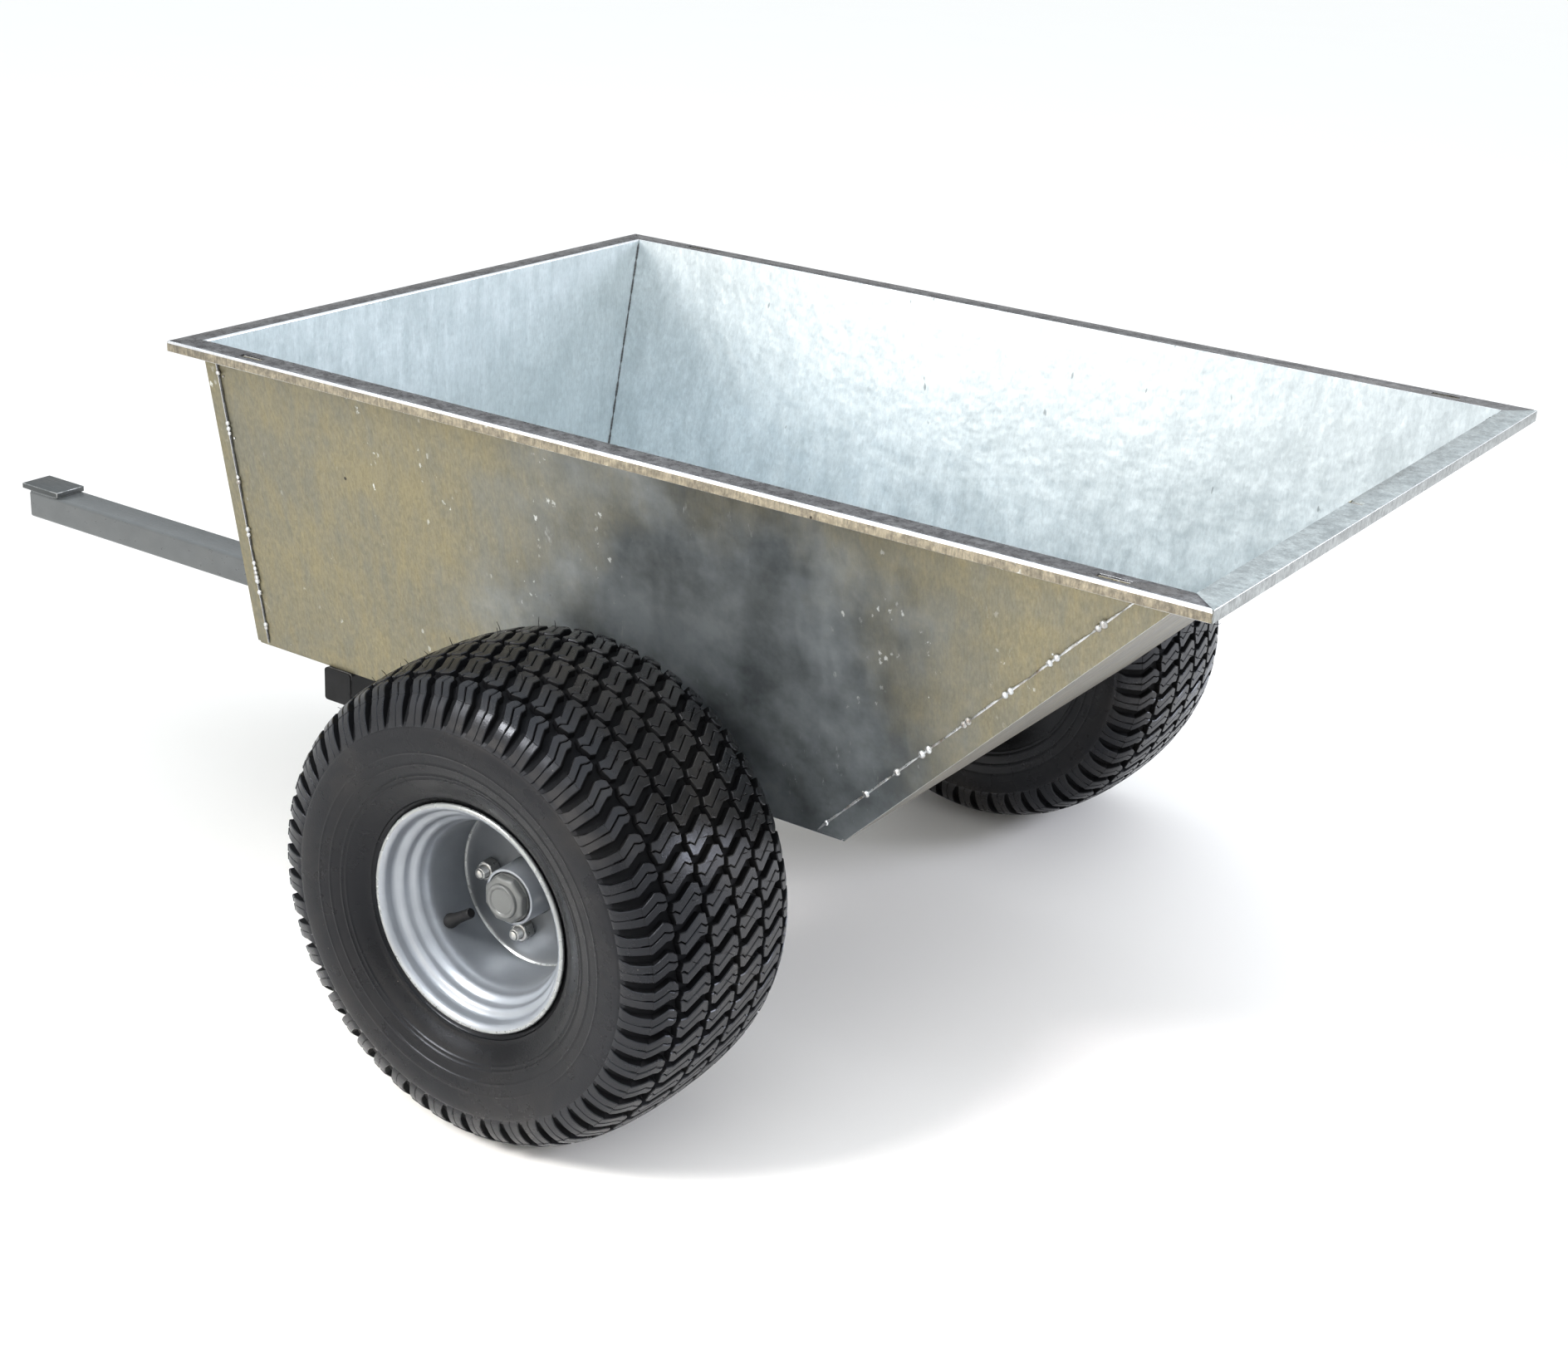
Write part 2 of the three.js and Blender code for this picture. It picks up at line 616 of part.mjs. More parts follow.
function rimProfile() {
  const inside = [...RIM_FACE, ...RIM_FACE.map(([r, y]) => [r, -y]).reverse()];
  const outside = inside.map(([r, y], i) => {
    const atLip = i === 0 || i === inside.length - 1;
    return atLip ? [r, y - Math.sign(y) * RIM_SHEET] : [r + RIM_SHEET, y - Math.sign(y) * 1.2];
  });
  return [...inside, ...outside.reverse()];
}

function rim() {
  const stem = rodY(5.4, 0, 30, 0, 0, 16).rotate([90, 0, 0]);
  return turned(rimProfile(), RIM_SEGMENTS).subtract(placeValve(stem));
}

// Moves a piece from the Z axis to the valve's place on the outboard side of the rim's well.
function placeValve(piece) {
  const radius = 74;
  return piece.translate([0, 0, radius]).rotate([0, 90 - VALVE_TURN, 0]).translate([0, 46, 0]);
}

function valveStem() {
  const profile = [
    [0, -26], [4.2, -25], [4.2, -15], [5.6, -14], [6.2, 0], [8, 5], [8, 10.5], [4.8, 11],
    [4.8, 22], [0, 22],
  ];
  const stem = turned(profile, 16).rotate([90, 0, 0]);
  return placeValve(stem);
}

// The tyre: an open U in section with a shallow crown, and beads seated on the rim.
function tyreProfile() {
  const outer = [
    [112, 88], [128, 103], [160, 119], [190, TYRE_HALF_WIDTH], [226, 117], [245, 101], [252, 64],
    [TYRE_RADIUS, 30],
  ];
  const inner = [[112, 77], [150, 106], [190, 112], [226, 98], [240, 50]];
  const inboard = ([r, y]) => [r, -y];
  return [
    ...outer, ...outer.map(inboard).reverse(),
    ...inner.map(inboard), ...[...inner].reverse(),
  ];
}

function wheelDisc() {
  const outer = DISC_FACE;
  const disc = turned([
    [HUB_RADIUS + GAP, outer - DISC_THICKNESS], [DISC_RADIUS, outer - DISC_THICKNESS],
    [DISC_RADIUS, outer], [HUB_RADIUS + GAP, outer],
  ], RIM_SEGMENTS);
  return disc.subtract(studHoles(outer - DISC_THICKNESS - 1, outer + 1));
}

function studPlaces() {
  const places = [];
  for (let i = 0; i < STUD_COUNT; i += 1) {
    const angle = degrees(STUD_TURN) + (2 * Math.PI * i) / STUD_COUNT;
    places.push([STUD_CIRCLE_RADIUS * Math.cos(angle), STUD_CIRCLE_RADIUS * Math.sin(angle)]);
  }
  return places;
}

function studHoles(y0, y1) {
  return unite(...studPlaces().map(([x, z]) => rodY(STUD_RADIUS + GAP, y0, y1, x, z, 12)));
}

function hub() {
  const back = DISC_FACE - DISC_THICKNESS - GAP;
  const barrel = turned([
    [BEARING_RADIUS, HUB_INNER], [HUB_RADIUS + 2, HUB_INNER], [HUB_RADIUS + 2, back - 10],
    [HUB_FLANGE_RADIUS, back - 10], [HUB_FLANGE_RADIUS, back], [HUB_RADIUS, back],
    [HUB_RADIUS, HUB_OUTER], [BEARING_RADIUS, HUB_OUTER],
    [BEARING_RADIUS, HUB_OUTER - 4 - BEARING_WIDTH - 2 * GAP],
    [BEARING_RADIUS - 5, HUB_OUTER - 4 - BEARING_WIDTH - 2 * GAP],
    [BEARING_RADIUS - 5, HUB_INNER + BEARING_WIDTH + 2 * GAP + 2],
    [BEARING_RADIUS, HUB_INNER + BEARING_WIDTH + 2 * GAP + 2],
  ], HUB_SEGMENTS);
  return barrel.subtract(studHoles(back - 11, back + 1));
}

function bearing(y) {
  const [inner, outer] = [SPINDLE_RADIUS + GAP, BEARING_RADIUS - GAP];
  return turned([[inner, y], [outer, y], [outer, y + BEARING_WIDTH], [inner, y + BEARING_WIDTH]], 24);
}

// A pressed-in cap: a plug in the barrel, an eight-sided flange and a round top with a dished face.
function hubCap() {
  const face = HUB_OUTER + GAP;
  const flange = extrudeY(regularPolygon(8, 25, degrees(22.5)), face, face + 9);
  const top = rodY(17.5, face + 8, face + 13, 0, 0, HUB_SEGMENTS);
  const dish = rodY(13.5, face + 11.5, face + 14, 0, 0, HUB_SEGMENTS);
  const plug = rodY(BEARING_RADIUS - GAP, face - 4, face + 1, 0, 0, HUB_SEGMENTS);
  const hollow = rodY(19.5, face - 5, face + 6.5).add(rodY(14.5, face + 5, face + 9.8));
  return unite(flange, top, plug).subtract(dish).subtract(hollow);
}

function wheelStud([x, z]) {
  const seat = DISC_FACE + GAP;
  const back = DISC_FACE - DISC_THICKNESS - GAP - 10 - GAP;
  return unite(
    rodY(STUD_RADIUS, back - 2, seat + 24, x, z, 12),
    rodY(9, back - 4, back, x, z, 12),
    hexagonY(19, seat, seat + 14, x, z),
  );
}

function buildWheel(parent, name, side) {
  const wheel = new THREE.Group();
  wheel.position.set(0, side * TRACK_HALF, AXLE_Z);
  wheel.rotation.z = side > 0 ? 0 : Math.PI;
  parent.add(wheel);
  addPiece(wheel, `tyre_${name}`, turned(tyreProfile()), 'tyreRubber');
  addPiece(wheel, `rim_${name}`, rim(), 'silverPaint');
  addPiece(wheel, `wheel_disc_${name}`, wheelDisc(), 'silverPaint');
  addPiece(wheel, `hub_${name}`, hub(), 'silverPaint');
  addPiece(wheel, `hub_cap_${name}`, hubCap(), 'silverPaint');
  addPiece(wheel, `valve_${name}`, valveStem(), 'rubber');
  addPiece(wheel, `bearing_inner_${name}`, bearing(HUB_INNER + 2), 'steel');
  addPiece(wheel, `bearing_outer_${name}`, bearing(HUB_OUTER - 4.5 - BEARING_WIDTH), 'steel');
  studPlaces().forEach((place, i) => {
    addPiece(wheel, `wheel_stud_${name}_${i + 1}`, wheelStud(place), 'platedSteel');
  });
}

// ---- Assembly -----------------------------------------------------------------------------

const placed = new THREE.Group();
placed.position.x = -(DRAWBAR_FRONT_X + HITCH_OVERHANG + rimRear) / 2;
cart.add(placed);
buildTub(placed);
buildChassis(placed);
buildLatch(placed);
buildWheel(placed, 'left', 1);
buildWheel(placed, 'right', -1);

export default cart;
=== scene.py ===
"""A tow-behind dump cart: its finishes and fine shapes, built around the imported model.

Metres in the scene. Lists of dimensions are in millimetres, measured from the axle line at
ground level: x forward, y left, z up.
"""
import math
import random

import bmesh
import bpy
from mathutils import Matrix, Vector


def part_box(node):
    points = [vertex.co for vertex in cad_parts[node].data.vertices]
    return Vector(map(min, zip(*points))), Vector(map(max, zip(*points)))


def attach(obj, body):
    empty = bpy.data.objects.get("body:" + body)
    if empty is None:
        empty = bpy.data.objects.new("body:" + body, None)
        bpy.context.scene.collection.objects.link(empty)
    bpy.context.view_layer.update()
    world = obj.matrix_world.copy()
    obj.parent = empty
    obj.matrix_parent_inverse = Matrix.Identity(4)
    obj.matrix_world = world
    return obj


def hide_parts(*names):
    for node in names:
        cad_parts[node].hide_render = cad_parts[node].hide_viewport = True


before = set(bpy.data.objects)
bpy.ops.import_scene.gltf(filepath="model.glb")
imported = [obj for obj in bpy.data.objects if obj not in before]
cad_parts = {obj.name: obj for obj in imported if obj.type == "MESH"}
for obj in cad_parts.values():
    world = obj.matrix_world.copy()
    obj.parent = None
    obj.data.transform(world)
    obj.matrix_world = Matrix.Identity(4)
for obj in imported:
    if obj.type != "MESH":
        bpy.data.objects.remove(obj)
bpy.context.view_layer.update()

MM = 0.001
TAU = 2 * math.pi
FLAT = math.radians(0.8)


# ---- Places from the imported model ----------

def middle(node):
    """The middle of a node's box."""
    low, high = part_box(node)
    return [(a + b) / 2 for a, b in zip(low, high)]


WHEEL = {1: middle("tyre_left"), -1: middle("tyre_right")}
AXLE_X, HUB_Z = WHEEL[1][0], WHEEL[1][2]
SIDE_NAME = {1: "left", -1: "right"}
END_NAME = {1: "front", -1: "rear"}


def at(x, y, z):
    """A place in millimetres from the axle line, in scene metres."""
    return Vector((AXLE_X + x * MM, y * MM, z * MM))


def on_wheel(side):
    """The transform from a wheel's own millimetres, outboard towards +Y, to the scene."""
    turn = Matrix.Rotation(0 if side > 0 else math.pi, 4, "Z")
    return Matrix.Translation(WHEEL[side]) @ turn @ Matrix.Scale(MM, 4)


# ---- Node materials ----------

class Nodes:
    """A short way to write a node tree."""

    def __init__(self, tree, coordinates):
        self.tree = tree
        self.place = self.node("ShaderNodeTexCoord").outputs[coordinates]

    def feed(self, value, socket):
        """Links an output to a socket, or sets the socket to a plain value."""
        if isinstance(value, bpy.types.NodeSocket):
            self.tree.links.new(value, socket)
        else:
            socket.default_value = value

    def node(self, kind, **settings):
        """A new node. A setting that starts with in_ feeds the socket of that name."""
        made = self.tree.nodes.new(kind)
        for key, value in settings.items():
            if key.startswith("in_"):
                self.feed(value, made.inputs[key[3:].replace("_", " ")])
            else:
                setattr(made, key, value)
        return made

    def ramp(self, value, low, high, start=0.0, end=1.0, curve="LINEAR"):
        """Maps low..high onto start..end and holds the value beyond both ends."""
        made = self.node("ShaderNodeMapRange", interpolation_type=curve, in_Value=value,
                         in_From_Min=low, in_From_Max=high, in_To_Min=start, in_To_Max=end)
        return made.outputs["Result"]

    def maths(self, operation, *values):
        made = self.node("ShaderNodeMath", operation=operation)
        for socket, value in zip(made.inputs, values):
            self.feed(value, socket)
        return made.outputs["Value"]

    def plus(self, a, b):
        return self.maths("ADD", a, b)

    def minus(self, a, b):
        return self.maths("SUBTRACT", a, b)

    def times(self, a, b):
        return self.maths("MULTIPLY", a, b)

    def vector(self, operation, output, *values):
        made = self.node("ShaderNodeVectorMath", operation=operation)
        for socket, value in zip(made.inputs, values):
            self.feed(value, socket)
        return made.outputs[output]


class Look(Nodes):
    """A material around one Principled shader, in the object's own coordinates."""

    def __init__(self, name, **plain):
        self.material = bpy.data.materials.new(name)
        self.material.use_nodes = True
        super().__init__(self.material.node_tree, "Object")
        self.shader = self.tree.nodes["Principled BSDF"]
        for socket, value in plain.items():
            self.shader.inputs[socket.replace("_", " ")].default_value = value

    def link(self, output, socket):
        self.tree.links.new(output, self.shader.inputs[socket])

    def colour(self):
        """The output that gives the shader its colour so far."""
        return self.shader.inputs["Base Color"].links[0].from_socket

    def stretch(self, scale, turn=(0, 0, 0)):
        made = self.node("ShaderNodeMapping", in_Vector=self.place, in_Scale=scale,
                         in_Rotation=turn)
        return made.outputs["Vector"]

    def noise(self, scale, detail=4.0, rough=0.55, warp=0.0, place=None):
        made = self.node("ShaderNodeTexNoise", in_Vector=place or self.place, in_Scale=scale,
                         in_Detail=detail, in_Roughness=rough, in_Distortion=warp)
        return made.outputs["Fac"]

    def cells(self, scale, place=None, output="Distance"):
        made = self.node("ShaderNodeTexVoronoi", in_Vector=place or self.place, in_Scale=scale)
        return made.outputs[output]

    def cell_value(self, channel, scale, place=None):
        """A random number for each cell."""
        colour = self.cells(scale, place, "Color")
        return self.node("ShaderNodeSeparateColor", in_Color=colour).outputs[channel]

    def mix(self, factor, first, second, blend="MIX"):
        """Two colours, each an output or (red, green, blue)."""
        made = self.node("ShaderNodeMix", data_type="RGBA", blend_type=blend)
        for name, value in (("Factor", factor), ("A", first), ("B", second)):
            socket = next(s for s in made.inputs if s.name == name and s.enabled)
            self.feed((*value, 1.0) if isinstance(value, tuple) else value, socket)
        return next(s for s in made.outputs if s.name == "Result" and s.enabled)

    def shaded(self, colour, value):
        """A colour multiplied by a grey of this value."""
        grey = self.node("ShaderNodeCombineColor", in_Red=value, in_Green=value, in_Blue=value)
        return self.mix(1.0, colour, grey.outputs["Color"], "MULTIPLY")

    def reach(self, x, z):
        """The distance from a line along Y through (x, z)."""
        flat = self.vector("MULTIPLY", "Vector", self.place, (1, 0, 1))
        return self.vector("DISTANCE", "Value", flat, (x, 0, z))

    def warped(self, scale, amount, place):
        """A place pushed about by coloured noise."""
        wobble = self.node("ShaderNodeTexNoise", in_Vector=place, in_Scale=scale)
        return self.vector("MULTIPLY_ADD", "Vector", wobble.outputs["Color"], (amount,) * 3, place)

    def gloss(self, value, low, high):
        """Roughness from low to high, where value goes over the middle of its range."""
        self.link(self.ramp(value, 0.3, 0.7, low, high), "Roughness")

    def bump(self, height, strength, distance):
        made = self.node("ShaderNodeBump", in_Height=height, in_Strength=strength,
                         in_Distance=distance)
        self.link(made.outputs["Normal"], "Normal")


def scaled(colour, factor):
    return tuple(c * factor for c in colour)


def zinc(name, light, dark, rough, metal, blotches=9, streak=(14, 14, 3), grain=0.06, ripple=0.3,
         extras=()):
    """Hot-dip galvanised sheet: soft blotches, run marks, spangle, grain and a rippled skin."""
    look = Look(name, Metallic=metal)
    blotch = look.noise(blotches, 5, 0.6, 0.6)
    runs = look.noise(5, 6, 0.65, 0.3, look.stretch(streak))
    colour = look.mix(look.ramp(look.plus(blotch, runs), 0.8, 1.2), dark, light)
    spangle = look.cell_value("Red", 170)
    colour = look.mix(look.ramp(spangle, 0, 1, 0.0, 0.25), colour, scaled(dark, 0.74))
    fine = look.noise(1, 3, 0.7, 0.0, look.stretch((420, 420, 110)))
    colour = look.shaded(colour, look.ramp(fine, 0.3, 0.7, 1 - grain * 2, 1 + grain))
    look.link(colour, "Base Color")
    dull = look.ramp(runs, 0.3, 0.7, rough - 0.05, rough + 0.07)
    look.link(look.plus(dull, look.ramp(spangle, 0, 1, -0.02, 0.02)), "Roughness")
    skin = look.plus(look.noise(34, 2, 0.5), look.times(look.noise(260, 2), 0.04))
    look.bump(skin, ripple, 0.002)
    for extra in extras:
        look.link(extra(look, look.colour()), "Base Color")
    return look.material


def painted_tyre_shade(look, colour):
    """A painted shade and reflection of the tyre: a dark, cool, ragged patch on the outer side
    walls by the wheels.
    """
    ragged = look.ramp(look.noise(7, 5), 0.3, 0.7, -0.07, 0.07)
    # The painted tyre shade: strongest within 0.19 m of a line by the wheel, gone beyond 0.37 m, in
    # cool dark greys.
    film = look.ramp(look.plus(look.reach(AXLE_X - 0.12, 0.4), ragged), 0.19, 0.37, 0.92, 0)
    cloud = look.ramp(look.noise(11, 5, 0.6), 0.35, 0.65)
    return look.mix(film, colour, look.mix(cloud, (0.10, 0.116, 0.128), (0.29, 0.32, 0.342)))


def splashed(look, colour):
    """Zinc splashes in runs, pale smears in patches and a few dark specks."""
    runs = look.ramp(look.noise(1, 3, 0.6, 0.4, look.stretch((20, 20, 4))), 0.55, 0.66)
    grid = look.warped(2.5, 0.9, look.stretch((150, 150, 100)))
    size = look.times(look.maths("POWER", look.cell_value("Red", 1, grid), 4), 0.42)
    drops = look.ramp(look.minus(size, look.cells(1, grid)), 0.0, 0.14)
    colour = look.mix(look.times(look.times(runs, drops), 0.8), colour, (0.80, 0.82, 0.80))
    smears = look.noise(1, 4, 0.75, 0.3, look.stretch((90, 90, 26)))
    patches = look.ramp(look.noise(9, 3), 0.5, 0.62)
    smears = look.times(look.ramp(smears, 0.64, 0.8, 0, 0.5), patches)
    colour = look.mix(smears, colour, (0.72, 0.74, 0.72))
    specks = look.ramp(look.cells(16), 0.028, 0.04, 1, 0)
    chosen = look.ramp(look.cell_value("Green", 16), 0.72, 0.76)
    return look.mix(look.times(specks, chosen), colour, (0.035, 0.03, 0.025))


def nicked(look, colour):
    """Short dark nicks in the sheet, with dull smears between them."""
    grid = look.warped(1.4, 0.9, look.stretch((62, 62, 24), (0.35, 0.25, 0.0)))
    nicks = look.ramp(look.cells(1, grid), 0.09, 0.15, 0.75, 0)
    chosen = look.ramp(look.cell_value("Green", 1, grid), 0.84, 0.86)
    colour = look.mix(look.times(nicks, chosen), colour, (0.22, 0.24, 0.245))
    smears = look.noise(1, 4, 0.75, 0.5, look.stretch((70, 70, 30)))
    return look.mix(look.ramp(smears, 0.6, 0.74, 0, 0.4), colour, (0.42, 0.46, 0.47))


def weld_zinc(name):
    """A weld run dipped in zinc: brighter, lumpy and stained brown in places."""
    look = Look(name, Metallic=0.85)
    stain = look.ramp(look.noise(60, 5, 0.6), 0.5, 0.68)
    look.link(look.mix(stain, (0.66, 0.67, 0.68), (0.2, 0.16, 0.12)), "Base Color")
    look.gloss(look.noise(200, 3), 0.22, 0.5)
    look.bump(look.noise(420, 4), 0.6, 0.0008)
    return look.material


def paint(name, colour, rough, metal, dusty, scuff=1.0, coat=0.0):
    """Sprayed paint: slight orange peel, uneven dust, and fine scratches in its gloss."""
    look = Look(name, Metallic=metal, Coat_Weight=coat, Coat_Roughness=0.18)
    film = look.ramp(look.noise(11, 6, 0.62, 0.4), 0.48, 0.8, 0, dusty)
    shade = look.mix(look.ramp(look.noise(34, 4), 0.3, 0.7), scaled(colour, 0.86), colour)
    look.link(look.mix(film, shade, (0.3, 0.27, 0.22)), "Base Color")
    scratch = look.noise(60, 4, 0.7, 0.0, look.stretch((1, 9, 2), (0.3, 0.2, 0.7)))
    scratch = look.ramp(scratch, 0.3, 0.72, rough - 0.09 * scuff, rough + 0.13 * scuff)
    look.link(scratch, "Roughness")
    look.bump(look.noise(900, 2), 0.16 * scuff, 0.0004)
    return look.material


def worn_edge(name, colour, bare):
    """Paint on a rounded edge, rubbed through to bare metal in patches."""
    look = Look(name)
    worn = look.ramp(look.noise(48, 6, 0.7, 0.5), 0.47, 0.56)
    look.link(look.mix(worn, colour, bare), "Base Color")
    look.link(look.ramp(worn, 0, 1, 0.05, 0.75), "Metallic")
    look.gloss(look.noise(120, 3), 0.28, 0.46)
    look.bump(look.noise(300, 3), 0.25, 0.0005)
    return look.material


def silver_lip(name, colour):
    """The rolled lip of a rim: clean silver paint with a few fine dark cuts across it."""
    look = Look(name, Metallic=0.6, Coat_Weight=0.3)
    split = look.node("ShaderNodeSeparateXYZ", in_Vector=look.place).outputs
    around = look.maths("ARCTAN2", look.minus(split["Z"], HUB_Z), look.minus(split["X"], AXLE_X))
    turn = look.node("ShaderNodeCombineXYZ", in_X=around, in_Y=split["Y"]).outputs["Vector"]
    cut = look.ramp(look.noise(16, 1, 0.5, 0.0, turn), 0.735, 0.75)
    shade = look.mix(look.noise(24, 3), scaled(colour, 0.8), colour)
    look.link(look.mix(cut, shade, (0.05, 0.05, 0.05)), "Base Color")
    look.gloss(look.noise(60, 4), 0.24, 0.32)
    look.bump(look.noise(500, 2), 0.1, 0.0003)
    return look.material


def plated(name, colour):
    """Dull zinc-plated steel with patches of dirt."""
    look = Look(name, Metallic=0.9)
    dirt = look.ramp(look.noise(150, 5, 0.6), 0.5, 0.75, 0, 0.4)
    look.link(look.mix(dirt, colour, (0.1, 0.095, 0.085)), "Base Color")
    look.gloss(look.noise(90, 4), 0.22, 0.44)
    look.bump(look.noise(700, 3), 0.3, 0.0003)
    return look.material


def tyre_rubber(name, clean, dusty, shine, rough, fade=1.0):
    """Tyre rubber: a cool tint on its reflections, a painted sky reflection; brown dust that thins
    towards the rim; painted shade that darkens it towards the rim, down to fade; and a moulded
    grain.
    """
    # The cool specular tint is a painted sky reflection.
    look = Look(name, Specular_IOR_Level=shine, Specular_Tint=(0.88, 0.91, 1.0, 1.0))
    reach = look.reach(AXLE_X, HUB_Z)
    film = look.ramp(look.noise(7, 6, 0.65, 0.5), 0.46, 0.76, 0, 0.75)
    film = look.times(film, look.ramp(reach, 0.14, 0.2, 0.12, 1.0))
    shade = look.mix(look.noise(28, 4), scaled(clean, 0.6), clean)
    # Painted shade: the colour darkens towards the rim, down to fade times itself.
    shade = look.shaded(look.mix(film, shade, dusty), look.ramp(reach, 0.125, 0.2, fade, 1.0))
    specks = look.ramp(look.cells(120), 0.02, 0.09, 1, 0)
    specks = look.times(specks, look.ramp(look.noise(30, 2), 0.6, 0.66))
    look.link(look.mix(specks, shade, scaled(dusty, 3.5)), "Base Color")
    dull = look.ramp(look.noise(18, 5, 0.6), 0.3, 0.72, rough - 0.08, rough + 0.14)
    look.link(dull, "Roughness")
    look.bump(look.noise(520, 4, 0.6), 0.35, 0.0005)
    return look.material


def black_rubber(name, rough, colour):
    """Plain moulded black rubber or plastic."""
    look = Look(name, Specular_IOR_Level=0.22)
    look.link(look.mix(look.noise(60, 4), colour, scaled(colour, 2)), "Base Color")
    look.gloss(look.noise(45, 3), rough - 0.1, rough + 0.1)
    look.bump(look.noise(800, 3), 0.25, 0.0003)
    return look.material


def studio_floor(name):
    """A plain pale floor with a faint even texture."""
    look = Look(name, Roughness=0.75)
    look.link(look.mix(look.noise(2.5, 3), (0.91, 0.88, 0.85), (0.925, 0.895, 0.865)), "Base Color")
    return look.material


ZINC_IN = zinc("zinc_inside", (0.735, 0.785, 0.80), (0.555, 0.605, 0.62), 0.34, 0.8, ripple=0.45,
               extras=[nicked])
# Painted light: a brighter copy of the inside zinc, for the inside of the front panel.
ZINC_FRONT_LIT = zinc("zinc_inside_front_lit", (0.85, 0.90, 0.915), (0.72, 0.775, 0.79), 0.34, 0.8,
                  ripple=0.4)
ZINC_FLOOR = zinc("zinc_floor", (0.50, 0.535, 0.54), (0.33, 0.355, 0.365), 0.42, 0.75, 7, grain=0.1)
# Painted light: the outside is a darker, warmer copy of the zinc, with warm ground light painted
# into its colour and the tyre's painted shade by the wheels.
ZINC_OUT = zinc("zinc_outside", (0.295, 0.256, 0.152), (0.226, 0.213, 0.16), 0.42, 0.72, 10,
                grain=0.1, extras=[painted_tyre_shade, splashed])
# Painted reflection: the lip's tan copy of the zinc stands in for the warm ground reflected in its
# outer face.
ZINC_LIP_GROUND_LIT = zinc("zinc_lip_ground_lit", (0.43, 0.38, 0.285), (0.21, 0.188, 0.15), 0.36, 0.8, 60, (40, 40, 40),
                0.2, extras=[splashed])
# Painted shade: a darker, browner copy of the zinc for the faces that look down.
ZINC_UNDER_SHADED = zinc("zinc_under_shaded", (0.19, 0.165, 0.115), (0.095, 0.09, 0.075), 0.45, 0.65, 12,
                  grain=0.12)
# Painted reflection: a dark copy of the zinc for the rim's top, standing in for dark surroundings
# reflected in it.
ZINC_RIM_SHADED = zinc("zinc_rim_shaded", (0.33, 0.325, 0.335), (0.10, 0.095, 0.105), 0.28, 0.9, 45,
                (30, 30, 30), 0.15)
# Painted light: a bright copy of the zinc for the rear rim's top.
ZINC_REAR_LIT = zinc("zinc_rear_rim_lit", (0.72, 0.78, 0.79), (0.43, 0.475, 0.49), 0.32, 0.85, 30,
                 (24, 24, 24), 0.12)
# Painted light: a cool grey copy of the lip for the rear, without the painted warm ground light.
REAR_LIP = zinc("zinc_rear_lip", (0.34, 0.355, 0.345), (0.20, 0.208, 0.20), 0.36, 0.8, 60,
                (40, 40, 40), 0.2)
# Painted highlight: a near-white copy of the zinc for the rounded rim edge, folds and cut edges.
ZINC_EDGE_HIGHLIGHT = zinc("zinc_edge_highlight", (0.90, 0.91, 0.93), (0.78, 0.79, 0.82), 0.24, 0.9, streak=(8, 8, 8))
WELD = weld_zinc("zinc_weld")
SEAM = paint("zinc_seam", (0.12, 0.12, 0.122), 0.5, 0.5, 0.1)
GREY = paint("grey_paint", (0.15, 0.158, 0.16), 0.34, 0.45, 0.08, coat=0.35)
# Painted reflection: a darker copy of the grey paint, standing in for dark surroundings reflected
# in the hitch plate's flat top.
HITCH_GREY_SHADED = paint("hitch_paint_shaded", (0.062, 0.067, 0.068), 0.42, 0.15, 0.1)
GREY_EDGE = worn_edge("grey_paint_edge", (0.15, 0.16, 0.16), (0.45, 0.45, 0.45))
BLACK = paint("black_paint", (0.009, 0.009, 0.009), 0.36, 0.0, 0.03)
BLACK_EDGE = worn_edge("black_paint_edge", (0.02, 0.02, 0.021), (0.3, 0.29, 0.28))
SILVER = paint("silver_paint", (0.31, 0.33, 0.36), 0.38, 0.62, 0.0, 0.1, 0.35)
SILVER_EDGE = silver_lip("silver_paint_lip", (0.33, 0.34, 0.338))
# Painted shade: the disc is a darker paint than the rim, standing in for the shade inside the
# wheel.
DISC_PAINT_SHADED = paint("disc_paint_shaded", (0.095, 0.103, 0.112), 0.34, 0.45, 0.04, 0.5, 0.25)
CAP_PAINT = paint("cap_paint", (0.128, 0.132, 0.129), 0.42, 0.2, 0.08)
PLATED = plated("plated_steel", (0.42, 0.42, 0.41))
STEEL = plated("bare_steel", (0.52, 0.52, 0.53))
# Painted shade: fade 0.2 darkens the sidewall towards the rim.
TYRE = tyre_rubber("tyre_rubber", (0.011, 0.011, 0.012), (0.034, 0.030, 0.026), 0.22, 0.26, 0.2)
TREAD_FACE = tyre_rubber("tread_face", (0.008, 0.008, 0.009), (0.042, 0.038, 0.034), 0.34, 0.28)
# Painted shade: a darker copy of the rubber for the groove floors and the blocks' sides.
GROOVE_SHADED = tyre_rubber("tread_groove_shaded", (0.0035, 0.0035, 0.004), (0.010, 0.009, 0.0075), 0.12, 0.66)
RUBBER = black_rubber("black_rubber", 0.5, (0.006, 0.006, 0.0065))
PLASTIC = black_rubber("black_plastic", 0.6, (0.005, 0.005, 0.0055))


# ---- Mesh building ----------

